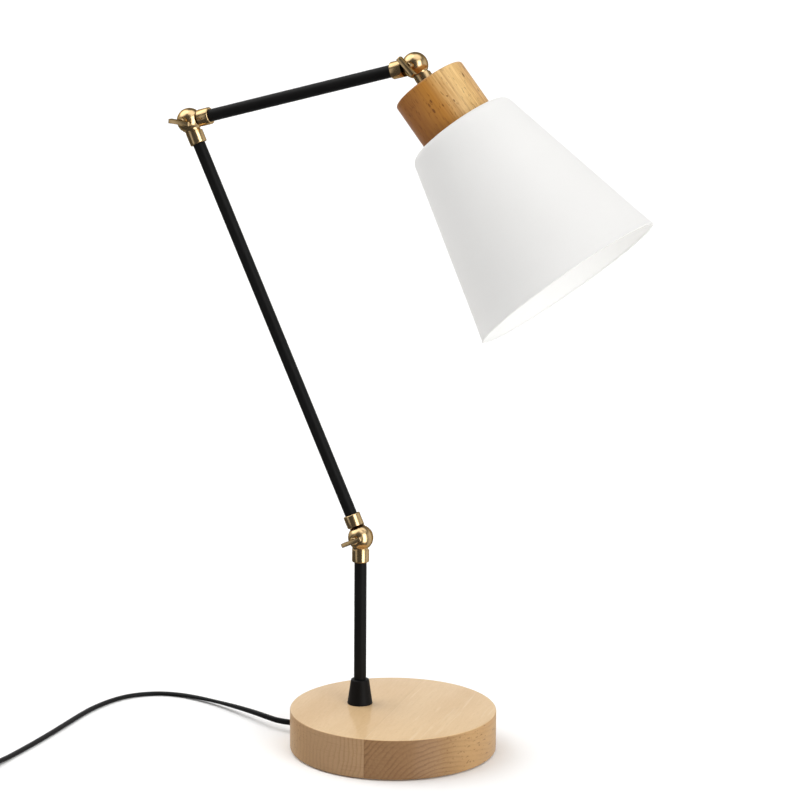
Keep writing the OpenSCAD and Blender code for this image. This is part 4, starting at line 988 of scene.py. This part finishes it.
def makeStrap():
    t = strap
    inner = flex["innerR"] - flex["wide"] / 2 - t["gap"] - t["thick"]
    outer = coilOuterR + flex["wide"] / 2 + t["gap"] + t["thick"]
    top = coilZ + coilLayer + flex["thick"] / 2 + t["topGap"] + t["thick"]
    middle = (coilMiddle.x, coilMiddle.y + (inner + outer) / 2, (t["lift"] + top) / 2)
    piece = block("coilStrap", (t["wide"], outer - inner, top - t["lift"]), middle)
    editing(piece, "FACE")
    chooseIn(piece, "polygons", lambda place, normal: abs(normal.x) > 0.9)
    bpy.ops.mesh.delete(type="FACE")
    roundedAt(piece, lambda a, b: abs(a.x - b.x) > 1 * mm, t["corner"], 6)
    applied(piece, "SOLIDIFY", thickness=t["thick"] * mm, offset=-1)
    return finished(softEdges(piece, t["edge"]), 30, "base", "tie", "cord_tie")


switchPieces = makeSwitch()
plugPieces = makePlug()
strapPiece = makeStrap()
print("switch, plug and strap made")

# pale floor and soft light: a wide lamp overhead, a bright wall behind, lamps at the left, strips at both sides
studio = {"floorSize": 60, "floorDrop": 0.0002, "floor": (0.985, 0.985, 0.985), "floorDim": (0.98, 0.98, 0.98),
          "sky": (1.0, 0.998, 0.992), "ambient": 0.09,
          "above": {"way": (0.2, 0.03, 0.98), "edge": (0.80, 0.95), "light": 1.7},
          "behind": {"way": (0.12, 0.99, 0), "edge": (-0.1, 0.6), "fade": (0.35, 0.75), "light": 0.72},
          "strip": {"way": (0.9, -0.435, 0), "edge": (0.16, 0.34), "fade": (0.55, 0.80), "light": 4.2},
          "sideStrip": {"way": (-0.6, -0.8, 0), "edge": (0.10, 0.26), "fade": (0.2, 0.45), "light": 0.6},
          "left": {"way": (-0.85, 0.25, 0.45), "edge": (0.75, 0.95), "light": 0.6},
          "upLeft": {"way": (-0.62, -0.1, 0.78), "edge": (0.83, 0.93), "light": 2.1}}


def makeStudio():
    floor = added("paleFloor", bpy.ops.mesh.primitive_plane_add, size=studio["floorSize"],
                  location=(0, 0, -studio["floorDrop"]))
    made, place = surface("palePaper")
    dressed(made, Base_Color=place.noise(6.0, 2.0).mixed(studio["floor"], studio["floorDim"]), Roughness=0.9,
          Specular_IOR_Level=0.1)
    floor.data.materials.append(made)
    floor.visible_glossy = False    # the metal mirrors the dim studio below the table, not the paper
    world = bpy.data.worlds.new("studioLight")
    scene.world = world
    world.use_nodes = True
    tree = world.node_tree
    sky = next(n for n in tree.nodes if n.type == "BACKGROUND")
    look = coordinates(tree, "Generated")
    high = look.along(skyward)

    def towards(lamp):
        return look.along(tuple(Vector(lamp["way"]).normalized()))

    def roundLamp(name):
        return towards(studio[name]).step(*studio[name]["edge"]) * studio[name]["light"]

    def upright(name):    # an upright strip of light
        lamp = studio[name]
        aside = Vector(lamp["way"]).cross(Vector(skyward)).normalized()
        across = look.sum("ABSOLUTE", look.along(tuple(aside))).step(*lamp["edge"])
        inFront = (1 - across) * towards(lamp).step(0.1, 0.4)
        return inFront * high.step(-0.6, -0.4) * (1 - high.step(*lamp["fade"])) * lamp["light"]

    behind = roundLamp("behind") * (1 - high.step(*studio["behind"]["fade"]))
    light = roundLamp("above") + behind + upright("strip") + upright("sideStrip")
    light = light + roundLamp("left") + roundLamp("upLeft") + studio["ambient"]
    feed(sky.inputs["Strength"], light)
    feed(sky.inputs["Color"], studio["sky"])
    scene.view_settings.view_transform = "Standard"


makeStudio()
